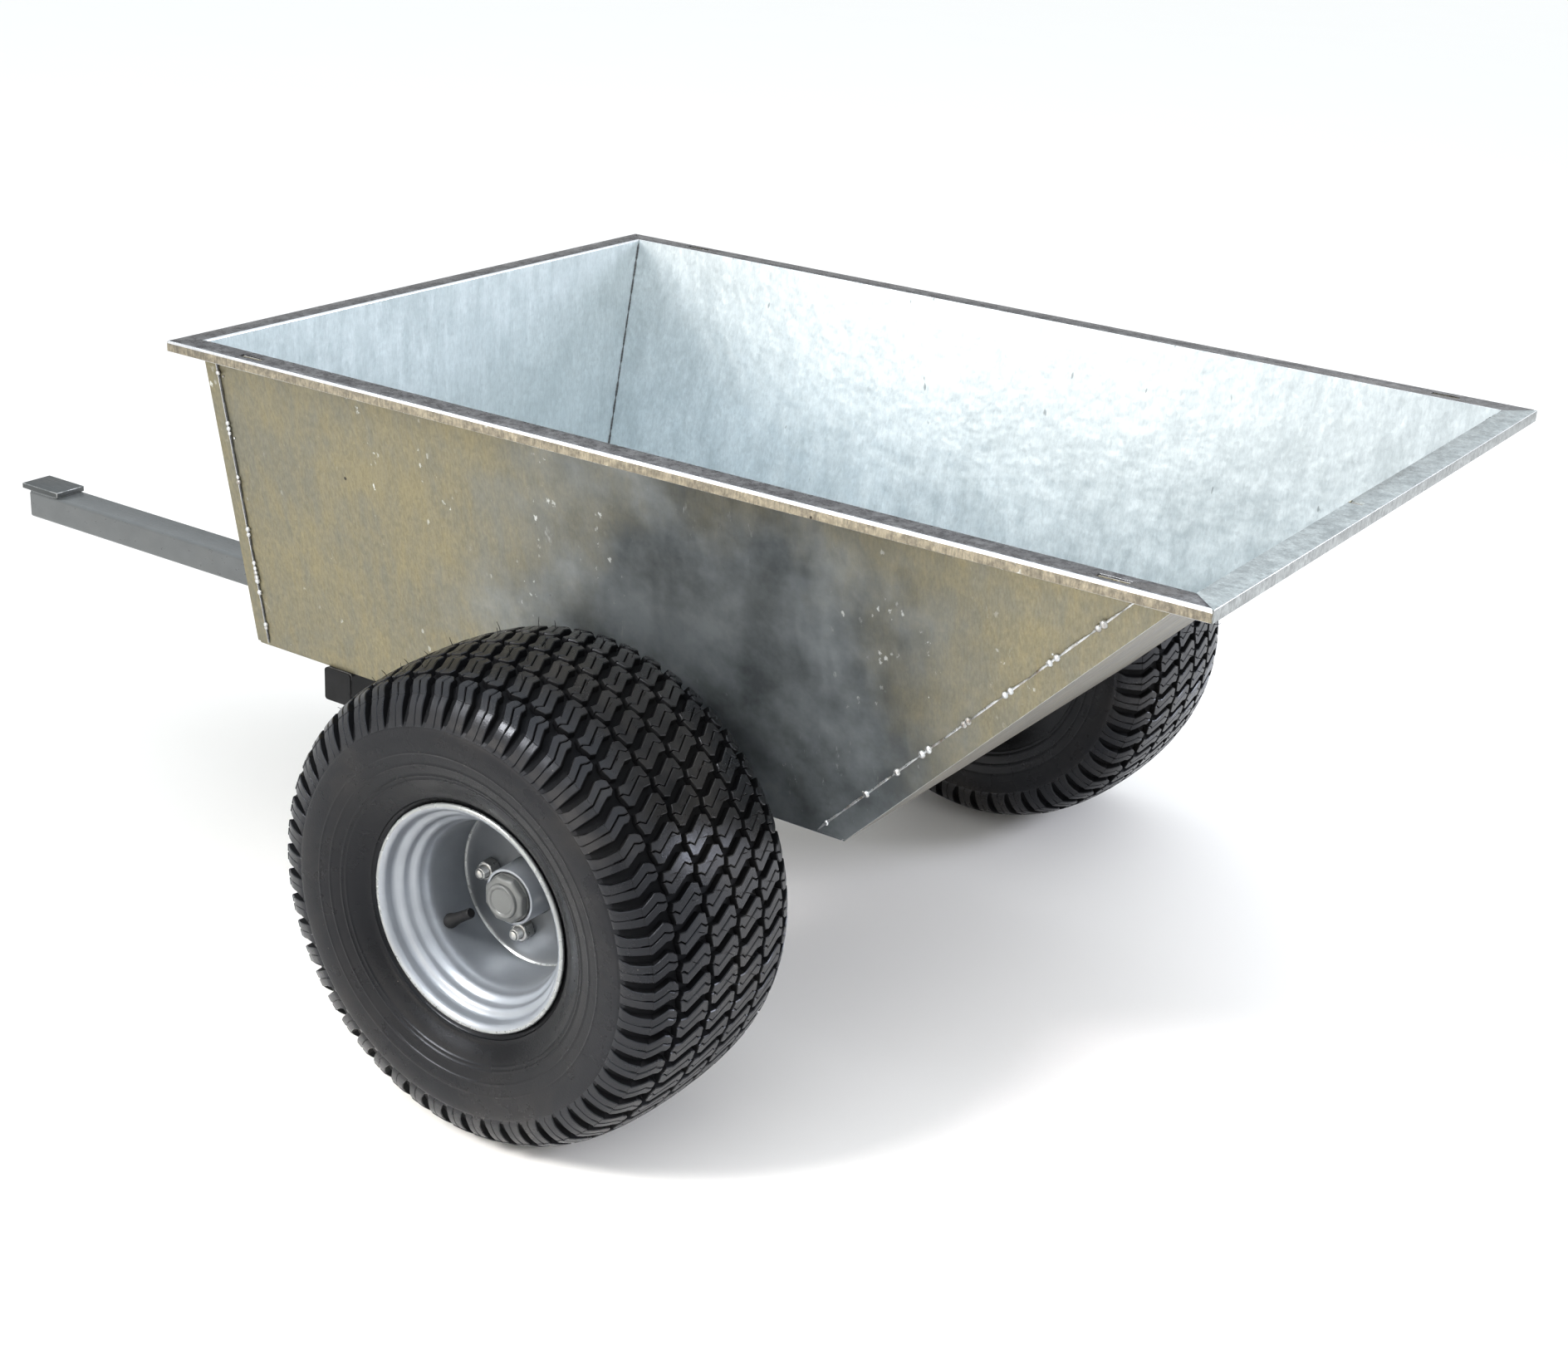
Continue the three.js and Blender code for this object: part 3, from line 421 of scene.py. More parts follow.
class Shape:
    """Points and faces gathered into one piece. Each face carries a material number."""

    def __init__(self, place=None):
        self.points, self.faces, self.looks = [], [], []
        self.place = place or Matrix.Identity(4)

    def add(self, points, faces, looks=0):
        """Adds faces, with one material number for them all or a list of them."""
        base = len(self.points)
        self.points += [self.place @ Vector(p) for p in points]
        self.faces += [[base + i for i in face] for face in faces]
        self.looks += looks if isinstance(looks, list) else [looks] * len(faces)

    def turn(self, profile, segments, closed=True, shape=None, looks=None):
        """(radius, y) points turned about the Y axis; shape(ring, angle) may scale a ring."""
        count = len(profile)
        points = []
        for k in range(segments):
            angle = TAU * k / segments
            for ring, (radius, y) in enumerate(profile):
                reach = radius * (shape(ring, angle) if shape else 1)
                points.append((reach * math.cos(angle), y, reach * math.sin(angle)))
        faces, face_looks = [], []
        for ring in range(count if closed else count - 1):
            other = (ring + 1) % count
            for k in range(segments):
                here, after = k * count, (k + 1) % segments * count
                faces.append((here + ring, here + other, after + other, after + ring))
            face_looks += [looks[ring] if looks else 0] * segments
        self.add(points, faces, face_looks)

    def finish(self, name, body, slot, materials, smooth):
        """The piece, with each edge sharper than smooth degrees left sharp."""
        mesh = bpy.data.meshes.new(name)
        mesh.from_pydata([tuple(p) for p in self.points], [], self.faces)
        for polygon, look in zip(mesh.polygons, self.looks):
            polygon.material_index = look
        tidy = bmesh.new()
        tidy.from_mesh(mesh)
        bmesh.ops.remove_doubles(tidy, verts=tidy.verts, dist=1e-6)
        bmesh.ops.dissolve_degenerate(tidy, dist=1e-6, edges=tidy.edges)
        bmesh.ops.recalc_face_normals(tidy, faces=tidy.faces)
        tidy.to_mesh(mesh)
        tidy.free()
        return finish_piece(name, mesh, body, materials, smooth)


def finish_piece(name, mesh, body, materials, smooth):
    for material in materials:
        mesh.materials.append(material)
    mesh.shade_smooth()
    mesh.set_sharp_from_angle(angle=math.radians(smooth))
    piece = bpy.data.objects.new(name, mesh)
    bpy.context.scene.collection.objects.link(piece)
    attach(piece, body)
    return piece


def finish_wheel_part(shape, side, node, word, slot, materials, smooth):
    """Finishes a part of a wheel in place of its node, whose name has {} for the side."""
    node = node.format(SIDE_NAME[side])
    piece = shape.finish(f"{node}_{word}", "wheel_" + SIDE_NAME[side], slot, materials, smooth)
    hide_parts(node)


def turned_part(side, node, word, materials, smooth, profile, segments, **turning):
    """A part of a wheel, turned from its profile."""
    shape = Shape(on_wheel(side))
    shape.turn(profile, segments, **turning)
    finish_wheel_part(shape, side, node, word, "silver_paint", materials, smooth)


def rounded(node, body, materials, width, steps=2, bend=35, paint_faces=None, edges=None):
    """A copy of a node's shape with its edges rounded; the rounding has its own material."""
    mesh = bpy.data.meshes.new(node + "_shape")
    work = bmesh.new()
    work.from_mesh(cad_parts[node].data)
    bmesh.ops.remove_doubles(work, verts=work.verts, dist=2e-6)
    bmesh.ops.dissolve_limit(work, angle_limit=FLAT, verts=work.verts, edges=work.edges)
    for face in work.faces:
        face.material_index = paint_faces(face) if paint_faces else 0
    joined = [e for e in work.edges if len(e.link_faces) == 2]
    sharp = [e for e in joined if e.calc_face_angle() > math.radians(bend)]
    for chosen, offset, count in (edges(sharp) if edges else [(sharp, width, steps)]):
        chosen = [e for e in chosen if e.is_valid]
        bmesh.ops.bevel(work, geom=chosen, offset=offset * MM, offset_type="OFFSET", segments=count,
                        profile=0.5, affect="EDGES", clamp_overlap=True,
                        material=len(materials) - 1)
    bmesh.ops.recalc_face_normals(work, faces=work.faces)
    work.to_mesh(mesh)
    work.free()
    piece = finish_piece(node + "_shape", mesh, body, materials, 28)
    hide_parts(node)
    return piece


def smooth_line(points, steps):
    """A smooth line through points, by Catmull-Rom."""
    line = []
    for i in range(len(points) - 1):
        a, b, c, d = (Vector(points[max(0, min(len(points) - 1, i + k))]) for k in (-1, 0, 1, 2))
        for k in range(steps):
            t = k / steps
            line.append(0.5 * ((2 * b) + (c - a) * t + (2 * a - 5 * b + 4 * c - d) * t ** 2
                               + (3 * b - a - 3 * c + d) * t ** 3))
    return line + [Vector(points[-1])]


def between(stations, value):
    """The value between (position, value) stations, held beyond both ends."""
    if value <= stations[0][0]:
        return stations[0][1]
    for (a, first), (b, second) in zip(stations, stations[1:]):
        if value <= b:
            return first + (second - first) * (value - a) / (b - a)
    return stations[-1][1]


def sleeve(rings, sides):
    """The faces of a tube made of rings of points."""
    faces = []
    for k in range(rings - 1):
        for j in range(sides):
            n = (j + 1) % sides
            faces.append((k * sides + j, k * sides + n, (k + 1) * sides + n, (k + 1) * sides + j))
    return faces


def bead(shape, start, end, radius, chance, lumps=0.35, pitch=4.0, look=0):
    """A weld run between two points: a tube whose thickness ripples and wanders."""
    start, end = Vector(start), Vector(end)
    length = (end - start).length / MM
    rings, sides = max(4, int(length / (pitch * 0.5))), 8
    along = (end - start).normalized()
    across = along.orthogonal().normalized()
    beyond = along.cross(across)
    points = []
    wander = 0.0
    for k in range(rings + 1):
        t = k / rings
        wander = 0.7 * wander + 0.3 * chance.uniform(-1, 1)
        ripple = 1 + 0.16 * math.cos(math.pi * k) + lumps * wander
        taper = min(1.0, 4 * t + 0.25, 4 * (1 - t) + 0.25)
        reach = radius * MM * ripple * taper
        centre = start.lerp(end, t) + across * wander * 0.5 * MM
        for j in range(sides):
            angle = TAU * j / sides
            points.append(centre + (across * math.cos(angle) + beyond * math.sin(angle)) * reach)
    ends = [tuple(range(sides)), tuple(rings * sides + j for j in range(sides))]
    shape.add(points, sleeve(rings + 1, sides) + ends, look)


# ---- Tyres ----------

TYRE_RADIUS = 254
PITCHES = 52
PITCH = TAU * TYRE_RADIUS / PITCHES
TREAD_PHASE = math.radians(146.75) * TYRE_RADIUS
TREAD_DEPTH = 7.5
ROWS = 4
ROW_HEIGHT = 42.7
ROW_SLIP = 8.2
LUG_SLIP = 13.1
# How far the blocks and the lugs are sunk below the grooves.
TREAD_FOOT, LUG_FOOT = 2, 1.5
# Places across the tyre, from the crown's middle: the tread's flat ends, the sidewall turns back.
SHOULDER_S, SIDE_S = 60, 140
CROWN = [
    (0, 254), (30, 253.4), (60, 251), (82, 247.2), (97, 242.2), (108, 235.6), (115, 227),
    (119.6, 216), (122, 203), (122.6, 189), (121.2, 175), (117.6, 160), (111.6, 145), (104, 132),
    (99.4, 124), (95.4, 117.6), (88.5, 112),
]


def crown_stations():
    """The outside of the tyre from the crown's middle to the bead as (s, y, radius)."""
    line = smooth_line(CROWN, 8)
    stations, travelled = [], 0.0
    for i, point in enumerate(line):
        if i:
            travelled += (point - line[i - 1]).length
        stations.append((travelled, point.x, point.y))
    return stations


STATIONS = crown_stations()
OUTLINE_Y = [(s, y) for s, y, r in STATIONS]
OUTLINE_R = [(s, r) for s, y, r in STATIONS]


def reach_of_width(y):
    """Where the outline comes to a width, before the sidewall turns back."""
    return between([(a, s) for s, a, r in STATIONS if s < SIDE_S], y)


def reach_of_radius(radius):
    """Where the outline comes down to a radius, beyond the flat of the tread."""
    return between(sorted((r, s) for s, a, r in STATIONS if s > SHOULDER_S), radius)


def row_middle(row):
    return ((ROWS - 1) / 2 - row) * ROW_HEIGHT


def tyre_point(u, s, height):
    """A point at u around the tyre and s across it, raised square to its surface."""
    half = abs(s)
    y, radius = between(OUTLINE_Y, half), between(OUTLINE_R, half)
    ahead_y, ahead_r = between(OUTLINE_Y, half + 1), between(OUTLINE_R, half + 1)
    tangent = Vector((ahead_y - y, ahead_r - radius)).normalized()
    y, radius = y - tangent.y * height, radius + tangent.x * height
    angle = u / TYRE_RADIUS
    return (radius * math.cos(angle), math.copysign(y, s) if s else 0.0, radius * math.sin(angle))


def tread_strip(shape, sections, base, edge=0.9, flare=1.3):
    """A block of tread from (s, left, right, top) sections, with chamfered top edges."""
    last = len(sections) - 1
    points = []
    for k, (s, left, right, top) in enumerate(sections):
        out = (k == last) - (k == 0)
        inset = min(edge, 0.42 * (right - left))
        foot, rim, face = s + out * flare, s, s - out * inset
        points += [
            tyre_point(left - flare, foot, base), tyre_point(left, rim, top - edge),
            tyre_point(left + inset, face, top), tyre_point(right - inset, face, top),
            tyre_point(right, rim, top - edge), tyre_point(right + flare, foot, base),
        ]
    faces = sleeve(last + 1, 6)
    for row in (0, 6 * last):
        faces += [(row, row + 1, row + 4, row + 5), (row + 1, row + 2, row + 3, row + 4)]
    walls = ({0, 1}, {4, 5}, {0, 5}, {0, 1, 4, 5})
    # The blocks' sides and ends take material 2, the painted shade of the grooves; their tops take
    # 1.
    shape.add(points, faces, [2 if {i % 6 for i in face} in walls else 1 for face in faces])


BLOCK_EDGE = [(-19.9, -4.0), (-18.4, -14.4), (-12.2, -16.6), (8.0, -5.9), (16.8, -6.6), (19.9, 0.6)]
BLOCK_SIPE = [(-19.9, -2.0), (-16.6, -2.0), (-11.6, -6.0), (11.6, 6.0), (16.6, 2.0), (19.9, 2.0)]
SIPE = 0.6


def tread_block(shape, u, s):
    """One S-shaped block, split by its zigzag sipe into two halves turned end for end."""
    cuts = sorted({v for v, _ in BLOCK_EDGE + BLOCK_SIPE})
    for turn in (1, -1):
        sections = []
        for v in cuts:
            left, right = between(BLOCK_EDGE, v), between(BLOCK_SIPE, v) - SIPE
            right = max(right, left + 0.15)
            ends = (left, right) if turn > 0 else (-right, -left)
            sections.append((s + turn * v, u + ends[0], u + ends[1], 0.0))
        tread_strip(shape, sections if turn > 0 else sections[::-1], -TREAD_DEPTH - TREAD_FOOT)


def lug_lines():
    """Where a shoulder lug's left edge, sipe and right edge lie at each reach s."""
    reach = [reach_of_width(w) for w in (86.2, 90.5, 95.5, 108.5)]
    reach += [reach_of_radius(r) for r in (226, 216, 208, 203)]
    left = list(zip(reach, (-4.5, -8.6, -10.0, -0.6, -0.6, -1.6, -5.5, -10.0)))
    sipe = list(zip(reach, (2.4, 2.2, 0.0, 9.3, 9.3, 9.0, 8.0, 5.0)))
    right = list(zip(reach, (6.5, 10.2, 9.8, 18.8, 18.8, 18.6, 18.4, 18.0)))
    return reach, left, sipe, right


LUG_REACH, LUG_LEFT, LUG_SIPE, LUG_RIGHT = lug_lines()
LUG_STEP = 0.8
SHOULDER = LUG_REACH[3] + 1.5
LUG_TOP = [(SHOULDER, 0.0), (SHOULDER + 0.5, -LUG_STEP), (LUG_REACH[5], -0.5),
           (LUG_REACH[6], -0.05), (LUG_REACH[7], -0.9)]


def shoulder_lug(shape, u, side):
    """A lug that wraps over the shoulder, with a bent sipe, a mould step and a fading end."""
    cuts = set(LUG_REACH) | {SHOULDER, SHOULDER + 0.5}
    for a, b in zip(LUG_REACH, LUG_REACH[1:]):
        cuts |= {a + (b - a) * k / 3 for k in (1, 2)}
    for half in (0, 1):
        sections = []
        for s in sorted(cuts):
            gap = SIPE if s < LUG_REACH[4] else 0.02
            split = between(LUG_SIPE, s)
            ends = (between(LUG_LEFT, s), split - gap)
            if half:
                ends = (split + gap, between(LUG_RIGHT, s))
            if side < 0:
                ends = (-ends[1], -ends[0])
            sections.append((side * s, u + ends[0], u + ends[1], between(LUG_TOP, s)))
        tread_strip(shape, sections if side > 0 else sections[::-1], -TREAD_DEPTH - LUG_FOOT)


RIDGES = [(178, 0.5), (166, 0.7), (154, 0.8), (149.5, 0.6), (127, 1.0)]


def carcass_height(s):
    """How far the carcass lies below (-) or above the tyre's outline at reach s."""
    fade = [(LUG_REACH[4], -TREAD_DEPTH), (LUG_REACH[5], -5.2), (LUG_REACH[6], -2.4),
            (LUG_REACH[7], -0.35), (LUG_REACH[7] + 4, 0.0)]
    radius = between(OUTLINE_R, s)
    ridge = sum(h * math.exp(-((radius - r) / 0.9) ** 2) for r, h in RIDGES)
    return between(fade, s) + (ridge if s > LUG_REACH[7] else 0)


def carcass(shape):
    """The casing under the tread, closed by its inner liner and its two beads."""
    total = STATIONS[-1][0]
    stations = [k * 6.0 for k in range(int(LUG_REACH[3] / 6))]
    stations += [LUG_REACH[3] + k * 3.0 for k in range(int((LUG_REACH[7] - LUG_REACH[3]) / 3) + 2)]
    walked = stations[-1] + 1.5
    while walked < total:
        radius = between(OUTLINE_R, walked)
        near = any(abs(radius - r) < 3.2 for r, h in RIDGES)
        stations.append(walked)
        walked += 0.8 if near else 3.0
    stations.append(total)
    half = []
    for s in stations:
        x, y, _ = tyre_point(0.0, max(s, 1e-4), carcass_height(s))
        half.append((x, y))
    liner = [(112, 77), (128, 92), (150, 106), (175, 112), (195, 112), (212, 106), (226, 96),
             (234, 80), (238, 45)]
    profile = [(r, -y) for r, y in half[::-1]] + half + liner + [(r, -y) for r, y in liner[::-1]]
    # The groove floors take material 2, the painted shade of the grooves.
    grooved = [2 if s < LUG_REACH[6] + 1 else 0 for s in stations]
    looks = grooved[-2::-1] + grooved[:-1] + [0] * (len(profile) - 2 * len(half) + 2)
    shape.turn(profile, PITCHES * 3, looks=looks)


def vent_hairs(shape, chance):
    """The thin rubber hairs that the mould's vents leave on the upper part of a new tread."""
    for row in range(ROWS):
        for k in range(PITCHES):
            u = TREAD_PHASE + k * PITCH + row * ROW_SLIP
            lift = math.sin(u / TYRE_RADIUS)
            if lift < -0.1 or chance.random() < 0.25:
                continue
            u += chance.uniform(-6, 6)
            s = row_middle(row) + chance.uniform(-9, 9)
            tall = chance.uniform(5, 10)
            lean_u, lean_s = chance.uniform(-2, 2), chance.uniform(-2, 2)
            points = []
            for t, thick in ((-0.05, 0.55), (0.5, 0.48), (1.0, 0.3)):
                for du, ds in ((thick, 0), (0, thick), (-thick, 0), (0, -thick)):
                    around, across = u + du + lean_u * t * t, s + ds + lean_s * t * t
                    points.append(tyre_point(around, across, tall * t))
            shape.add(points, [(0, 3, 2, 1), (8, 9, 10, 11)] + sleeve(3, 4))


def build_tyre(side):
    shape = Shape(on_wheel(side))
    carcass(shape)
    for k in range(PITCHES):
        u = TREAD_PHASE + k * PITCH
        for row in range(ROWS):
            tread_block(shape, u + row * ROW_SLIP, row_middle(row))
        shoulder_lug(shape, u - LUG_SLIP, 1)
        shoulder_lug(shape, u + (ROWS - 1) * ROW_SLIP + LUG_SLIP, -1)
    vent_hairs(shape, random.Random(40 + side))
    finish_wheel_part(shape, side, "tyre_{}", "tread", "tyre", [TYRE, TREAD_FACE, GROOVE_SHADED], 24)


# ---- Wheels ----------

RIM_LINE = [
    (119.2, 97.6), (120.2, 98.8), (120.4, 100.2), (119.8, 101.6), (118.4, 102.3), (116.4, 102.0),
    (113.8, 100.6), (112.1, 98.8), (111.1, 96.0), (110.4, 91.0), (109.4, 87.6), (107.6, 85.8),
    (104.6, 84.8), (102.0, 83.0),
    (100.7, 80.0), (99.9, 76.6), (98.4, 74.2), (95.6, 72.4), (93.3, 70.2), (92.2, 67.0),
    (91.3, 63.4), (89.8, 60.8), (88.2, 58.0), (87.4, 52.0), (86.9, 44.0), (86.8, 22.0),
]
RIM_SHEET = 2.2


def offset_line(line, distance):
    """A line of (radius, y) points moved square to itself."""
    moved = []
    for i, (radius, y) in enumerate(line):
        before, after = Vector(line[max(0, i - 1)]), Vector(line[min(len(line) - 1, i + 1)])
        along = (after - before).normalized()
        moved.append((radius - along.y * distance, y + along.x * distance))
    return moved


def build_rim(side):
    """The rolled barrel, with its lips as their own material."""
    face = RIM_LINE + [(r, -y) for r, y in RIM_LINE[::-1]]
    back = offset_line(RIM_LINE[4:], RIM_SHEET)
    back = back + [(r, -y) for r, y in back[::-1]]
    profile = face + back[::-1]
    looks = [1 if i < 5 or len(face) - 7 < i < len(face) else 0 for i in range(len(profile))]
    turned_part(side, "rim_{}", "rolled", [SILVER, SILVER_EDGE], 50, profile, 144, looks=looks)


def build_disc(side):
    """The pressed centre of a wheel, welded in with a bright edge; its darker paint is painted
    shade inside the wheel.
    """
    profile = [
        (30.3, -0.6), (30.3, 2.6), (31.0, 3.4), (56, 3.4), (66, 3.0), (76, 3.2), (83.0, 3.5),
        (85.0, 4.4), (86.6, 6.0), (86.6, 4.0), (86.5, -0.2), (85.6, -0.6),
    ]
    turned_part(side, "wheel_disc_{}", "pressed", [DISC_PAINT_SHADED, SILVER_EDGE], 40, profile, 120,
                looks=[0] * 7 + [1] + [0] * 4)


def build_hub(side):
    profile = [
        (26.2, 22.5), (26.2, 36.6), (26.9, 38.0), (28.2, 38.4), (29.4, 37.9), (30.0, 36.6),
        (30.0, -0.9), (65.2, -0.9), (66.0, -1.7), (66.0, -10.1), (65.2, -10.9), (33.5, -10.9),
        (32.0, -12.5), (32.0, -48.6), (30.8, -50.0), (26.2, -50.0), (26.2, -32.4), (21.2, -32.4),
        (21.2, 18.8), (26.2, 18.8),
    ]
    turned_part(side, "hub_{}", "turned", [SILVER], 40, profile, 80)


def eight_sided(blend):
    """The reach of an eight-sided outline against its round one, mixed by blend."""
    def reach(ring, angle):
        flat = (angle - math.pi / 8) % (math.pi / 4) - math.pi / 8
        return 1 + blend[ring] * (math.cos(math.pi / 8) / math.cos(flat) - 1)
    return reach


def build_hub_cap(side):
    """An eight-sided flange with a round dished top."""
    profile = [
        (0.0, 45.0), (19.0, 45.0), (19.2, 34.9), (25.4, 34.9), (25.4, 38.8), (24.4, 38.8),
        (25.6, 39.8), (25.6, 44.4), (24.8, 46.2), (23.0, 47.4), (20.2, 47.9), (18.6, 48.3),
        (18.2, 49.2), (18.0, 50.6), (17.2, 51.5), (15.9, 51.7), (14.4, 51.4), (13.5, 50.6),
        (12.9, 50.0), (6.0, 49.9), (0.0, 49.9),
    ]
    blend = [0] * 5 + [1, 1, 1, 0.9, 0.6, 0.25] + [0] * 10
    turned_part(side, "hub_cap_{}", "dished", [CAP_PAINT], 40, profile, 96, closed=False,
                shape=eight_sided(blend))


STUD_TURN = 5
STUD_CIRCLE = 50
NUT_FLAT = 9.5
NUT_CORNER = NUT_FLAT * 2 / math.sqrt(3)
THREAD_START, THREAD_END, THREAD_PITCH = 3.0, 24.4, 1.3


def nut_outline(ring, turn):
    """The nut's hexagon, with the corners turned down on its last ring."""
    if ring not in (2, 3, 4):
        return 1
    hexagon = 1 / math.cos((turn + math.pi / 6) % (math.pi / 3) - math.pi / 6)
    return min(hexagon, (NUT_CORNER - 0.9) / NUT_FLAT) if ring == 4 else hexagon


def build_stud(side, number):
    """A hexagon nut with turned-down corners on a threaded stud."""
    angle = math.radians(STUD_TURN + 90 * (number - 1))
    spot = Matrix.Translation((STUD_CIRCLE * math.cos(angle), 0, STUD_CIRCLE * math.sin(angle)))
    shape = Shape(on_wheel(side) @ spot @ Matrix.Rotation(0.35 * number, 4, "Y"))
    nut = [(6.1, 3.8), (NUT_FLAT * 0.97, 3.8), (NUT_FLAT, 4.6), (NUT_FLAT, 16.0), (NUT_FLAT, 16.9),
           (NUT_FLAT * 0.9, 17.7), (7.2, 17.7), (6.3, 16.6)]
    shape.turn(nut, 60, shape=nut_outline)
    thread = [(0.0, -13.0), (6.0, -13.0), (6.0, THREAD_START)]
    y = THREAD_START
    while y < THREAD_END:
        thread += [(5.55, y + 0.35), (6.05, y + 0.95)]
        y += THREAD_PITCH
    thread += [(5.2, 25.2), (4.6, 26.6), (3.0, 27.5), (0.0, 27.8)]
    shape.turn(thread, 28, closed=False)
    head = [(0.0, -17.0), (8.4, -17.0), (9.0, -16.4), (9.0, -11.4), (0.0, -11.4)]
    shape.turn(head, 28, closed=False)
    node = "wheel_stud_{}_" + str(number)
    finish_wheel_part(shape, side, node, "threaded", "plated_steel", [PLATED], 34)


VALVE_ANGLE = math.radians(-34)
VALVE_RADIUS = 74
VALVE_Y = 46


def build_valve(side):
    """A snap-in rubber valve: a button on the rim, a necked stem and a ribbed cap."""
    around = Matrix.Rotation(math.pi / 2 - VALVE_ANGLE, 4, "Y")
    stand = Matrix.Translation((0, 0, VALVE_RADIUS)) @ Matrix.Rotation(math.pi / 2, 4, "X")
    shape = Shape(on_wheel(side) @ Matrix.Translation((0, VALVE_Y, 0)) @ around @ stand)
    profile = [
        (0.0, -21.5), (4.2, -21.5), (7.2, -19.0), (7.8, -15.6), (7.0, -13.4), (6.9, -11.6),
        (7.9, -10.2), (7.6, -7.4), (6.9, -4.4), (6.2, -1.0), (5.7, 7.0), (5.4, 13.6),
        (5.2, 14.2), (5.4, 15.0), (5.4, 21.4), (4.8, 22.6), (0.0, 22.8),
    ]
    looks = [0] * 13 + [1] * 3
    shape.turn([(r, -y) for r, y in profile], 40, closed=False, looks=looks)
    finish_wheel_part(shape, side, "valve_{}", "snap_in", "black_rubber", [RUBBER, PLASTIC], 34)


# ---- Tub ----------

FLOOR_Z, RIM_Z = 312, 689
RIM_FRONT, RIM_REAR, RIM_SIDE = 597, -649, 421
OPEN_FRONT, OPEN_REAR, OPEN_SIDE = 570, -622, 394
FLOOR_FRONT, FLOOR_REAR, FLOOR_SIDE = 572, -249, 321
FRONT_RETURN, REAR_RETURN = 17, 24.5
LIP_DROP = 14


def wall(bottom, top, z):
    """Where a sloping wall is at height z, from its place at the floor and at the rim."""
    return bottom + (top - bottom) * (z - FLOOR_Z) / (RIM_Z - FLOOR_Z)


def tub_paint(face):
    """0 inside, 1 outside, 2 the rim's top, 3 the rim's lip, 4 underneath, 5 the tub's floor. Faces
    that look down get 4, the painted shade underneath.
    """
    place, normal = face.calc_center_median(), face.normal
    z = place.z / MM
    x, y = (place.x - AXLE_X) / MM, place.y / MM
    beyond = abs(y) > OPEN_SIDE + 1 or x > OPEN_FRONT + 2 or x < OPEN_REAR - 2
    if z > RIM_Z - LIP_DROP and beyond:
        outer = abs(y) > RIM_SIDE - 2.5 or x > RIM_FRONT - 2.5 or x < RIM_REAR + 2.5
        return 2 if normal.z > 0.5 or (normal.z > -0.5 and not outer) else 3
    centre = Vector((AXLE_X - 0.05, 0, 0.75))
    if normal.dot(centre - place) > 0:
        return 5 if normal.z > 0.9 and z < FLOOR_Z + 10 else 0
    return 4 if normal.z < -0.45 else 1


def tub_edges(sharp):
    """Rounds the rim's rolled edge the most, the folds less and cut edges the least; the rounding
    carries the painted edge highlight.
    """
    rolled, folds, cuts = [], [], []
    for edge in sharp:
        a, b = (v.co for v in edge.verts)
        if (a - b).length < 0.02:
            continue
        z = min(a.z, b.z) / MM
        x, y = ((a.x + b.x) / 2 - AXLE_X) / MM, abs((a.y + b.y) / 2) / MM
        outer = y > RIM_SIDE - 0.5 or x > RIM_FRONT - 0.5 or x < RIM_REAR + 0.5
        if z > RIM_Z - 0.5 and outer:
            rolled.append(edge)
        elif z > RIM_Z - 0.5 and edge.calc_face_angle_signed() > 0:
            folds.append(edge)
        else:
            cuts.append(edge)
    return [(rolled, 3.2, 4), (folds, 2.0, 3), (cuts, 0.45, 1)]


def build_tub():
    for node, inside, rim, lip in (("tub_body", ZINC_IN, ZINC_RIM_SHADED, ZINC_LIP_GROUND_LIT),
                                   ("tub_front_panel", ZINC_FRONT_LIT, ZINC_RIM_SHADED, ZINC_LIP_GROUND_LIT),
                                   ("tub_rear_panel", ZINC_IN, ZINC_REAR_LIT, REAR_LIP)):
        # The last material goes on the rounded edges: the painted edge highlight.
        materials = [inside, ZINC_OUT, rim, lip, ZINC_UNDER_SHADED, ZINC_FLOOR, ZINC_EDGE_HIGHLIGHT]
        rounded(node, "tub", materials, 0.5, paint_faces=tub_paint, edges=tub_edges)


def seam_point(end, side, z, proud):
    """A point on the edge of a folded return, on the outside of a side wall."""
    y = wall(FLOOR_SIDE, OPEN_SIDE, z) + proud
    if end > 0:
        return at(wall(FLOOR_FRONT, OPEN_FRONT, z) - FRONT_RETURN - 0.8, side * y, z)
    return at(wall(FLOOR_REAR, OPEN_REAR, z) + REAR_RETURN * math.sqrt(2) + 0.8, side * y, z)


# Where the tack welds of an end's seams lie, from the floor (0) to the rim (1), with how many
# drops each has.
TACKS = {
    1: [(0.06, 2), (0.18, 1), (0.25, 5), (0.39, 2), (0.57, 2), (0.74, 3), (0.92, 1)],
    -1: [(0.03, 1), (0.17, 1), (0.27, 1), (0.36, 2), (0.485, 2), (0.61, 2), (0.735, 2), (0.865, 2),
         (0.985, 1)],
}
DROP_PITCH = 0.016


def drop(shape, place, radius):
    """A small drop of metal, flattened against the wall behind it."""
    rings, sides = 6, 10
    points = []
    for k in range(1, rings):
        up = math.cos(math.pi * k / rings)
        out = math.sin(math.pi * k / rings)
        for j in range(sides):
            turn = TAU * j / sides
            offset = Vector((out * math.cos(turn), 0.7 * out * math.sin(turn), up))
            points.append(place + offset * radius * MM)
    points += [place + Vector((0, 0, radius * MM)), place - Vector((0, 0, radius * MM))]
    faces = sleeve(rings - 1, sides)
    top, base = len(points) - 2, (rings - 2) * sides
    for j in range(sides):
        n = (j + 1) % sides
        faces += [(top, n, j), (top + 1, base + j, base + n)]
    shape.add(points, faces)


def finish_tub_weld(shape, kind, end, side, materials):
    shape.finish(f"{kind}_{END_NAME[end]}_{SIDE_NAME[side]}", "tub", "galvanised", materials, 60)


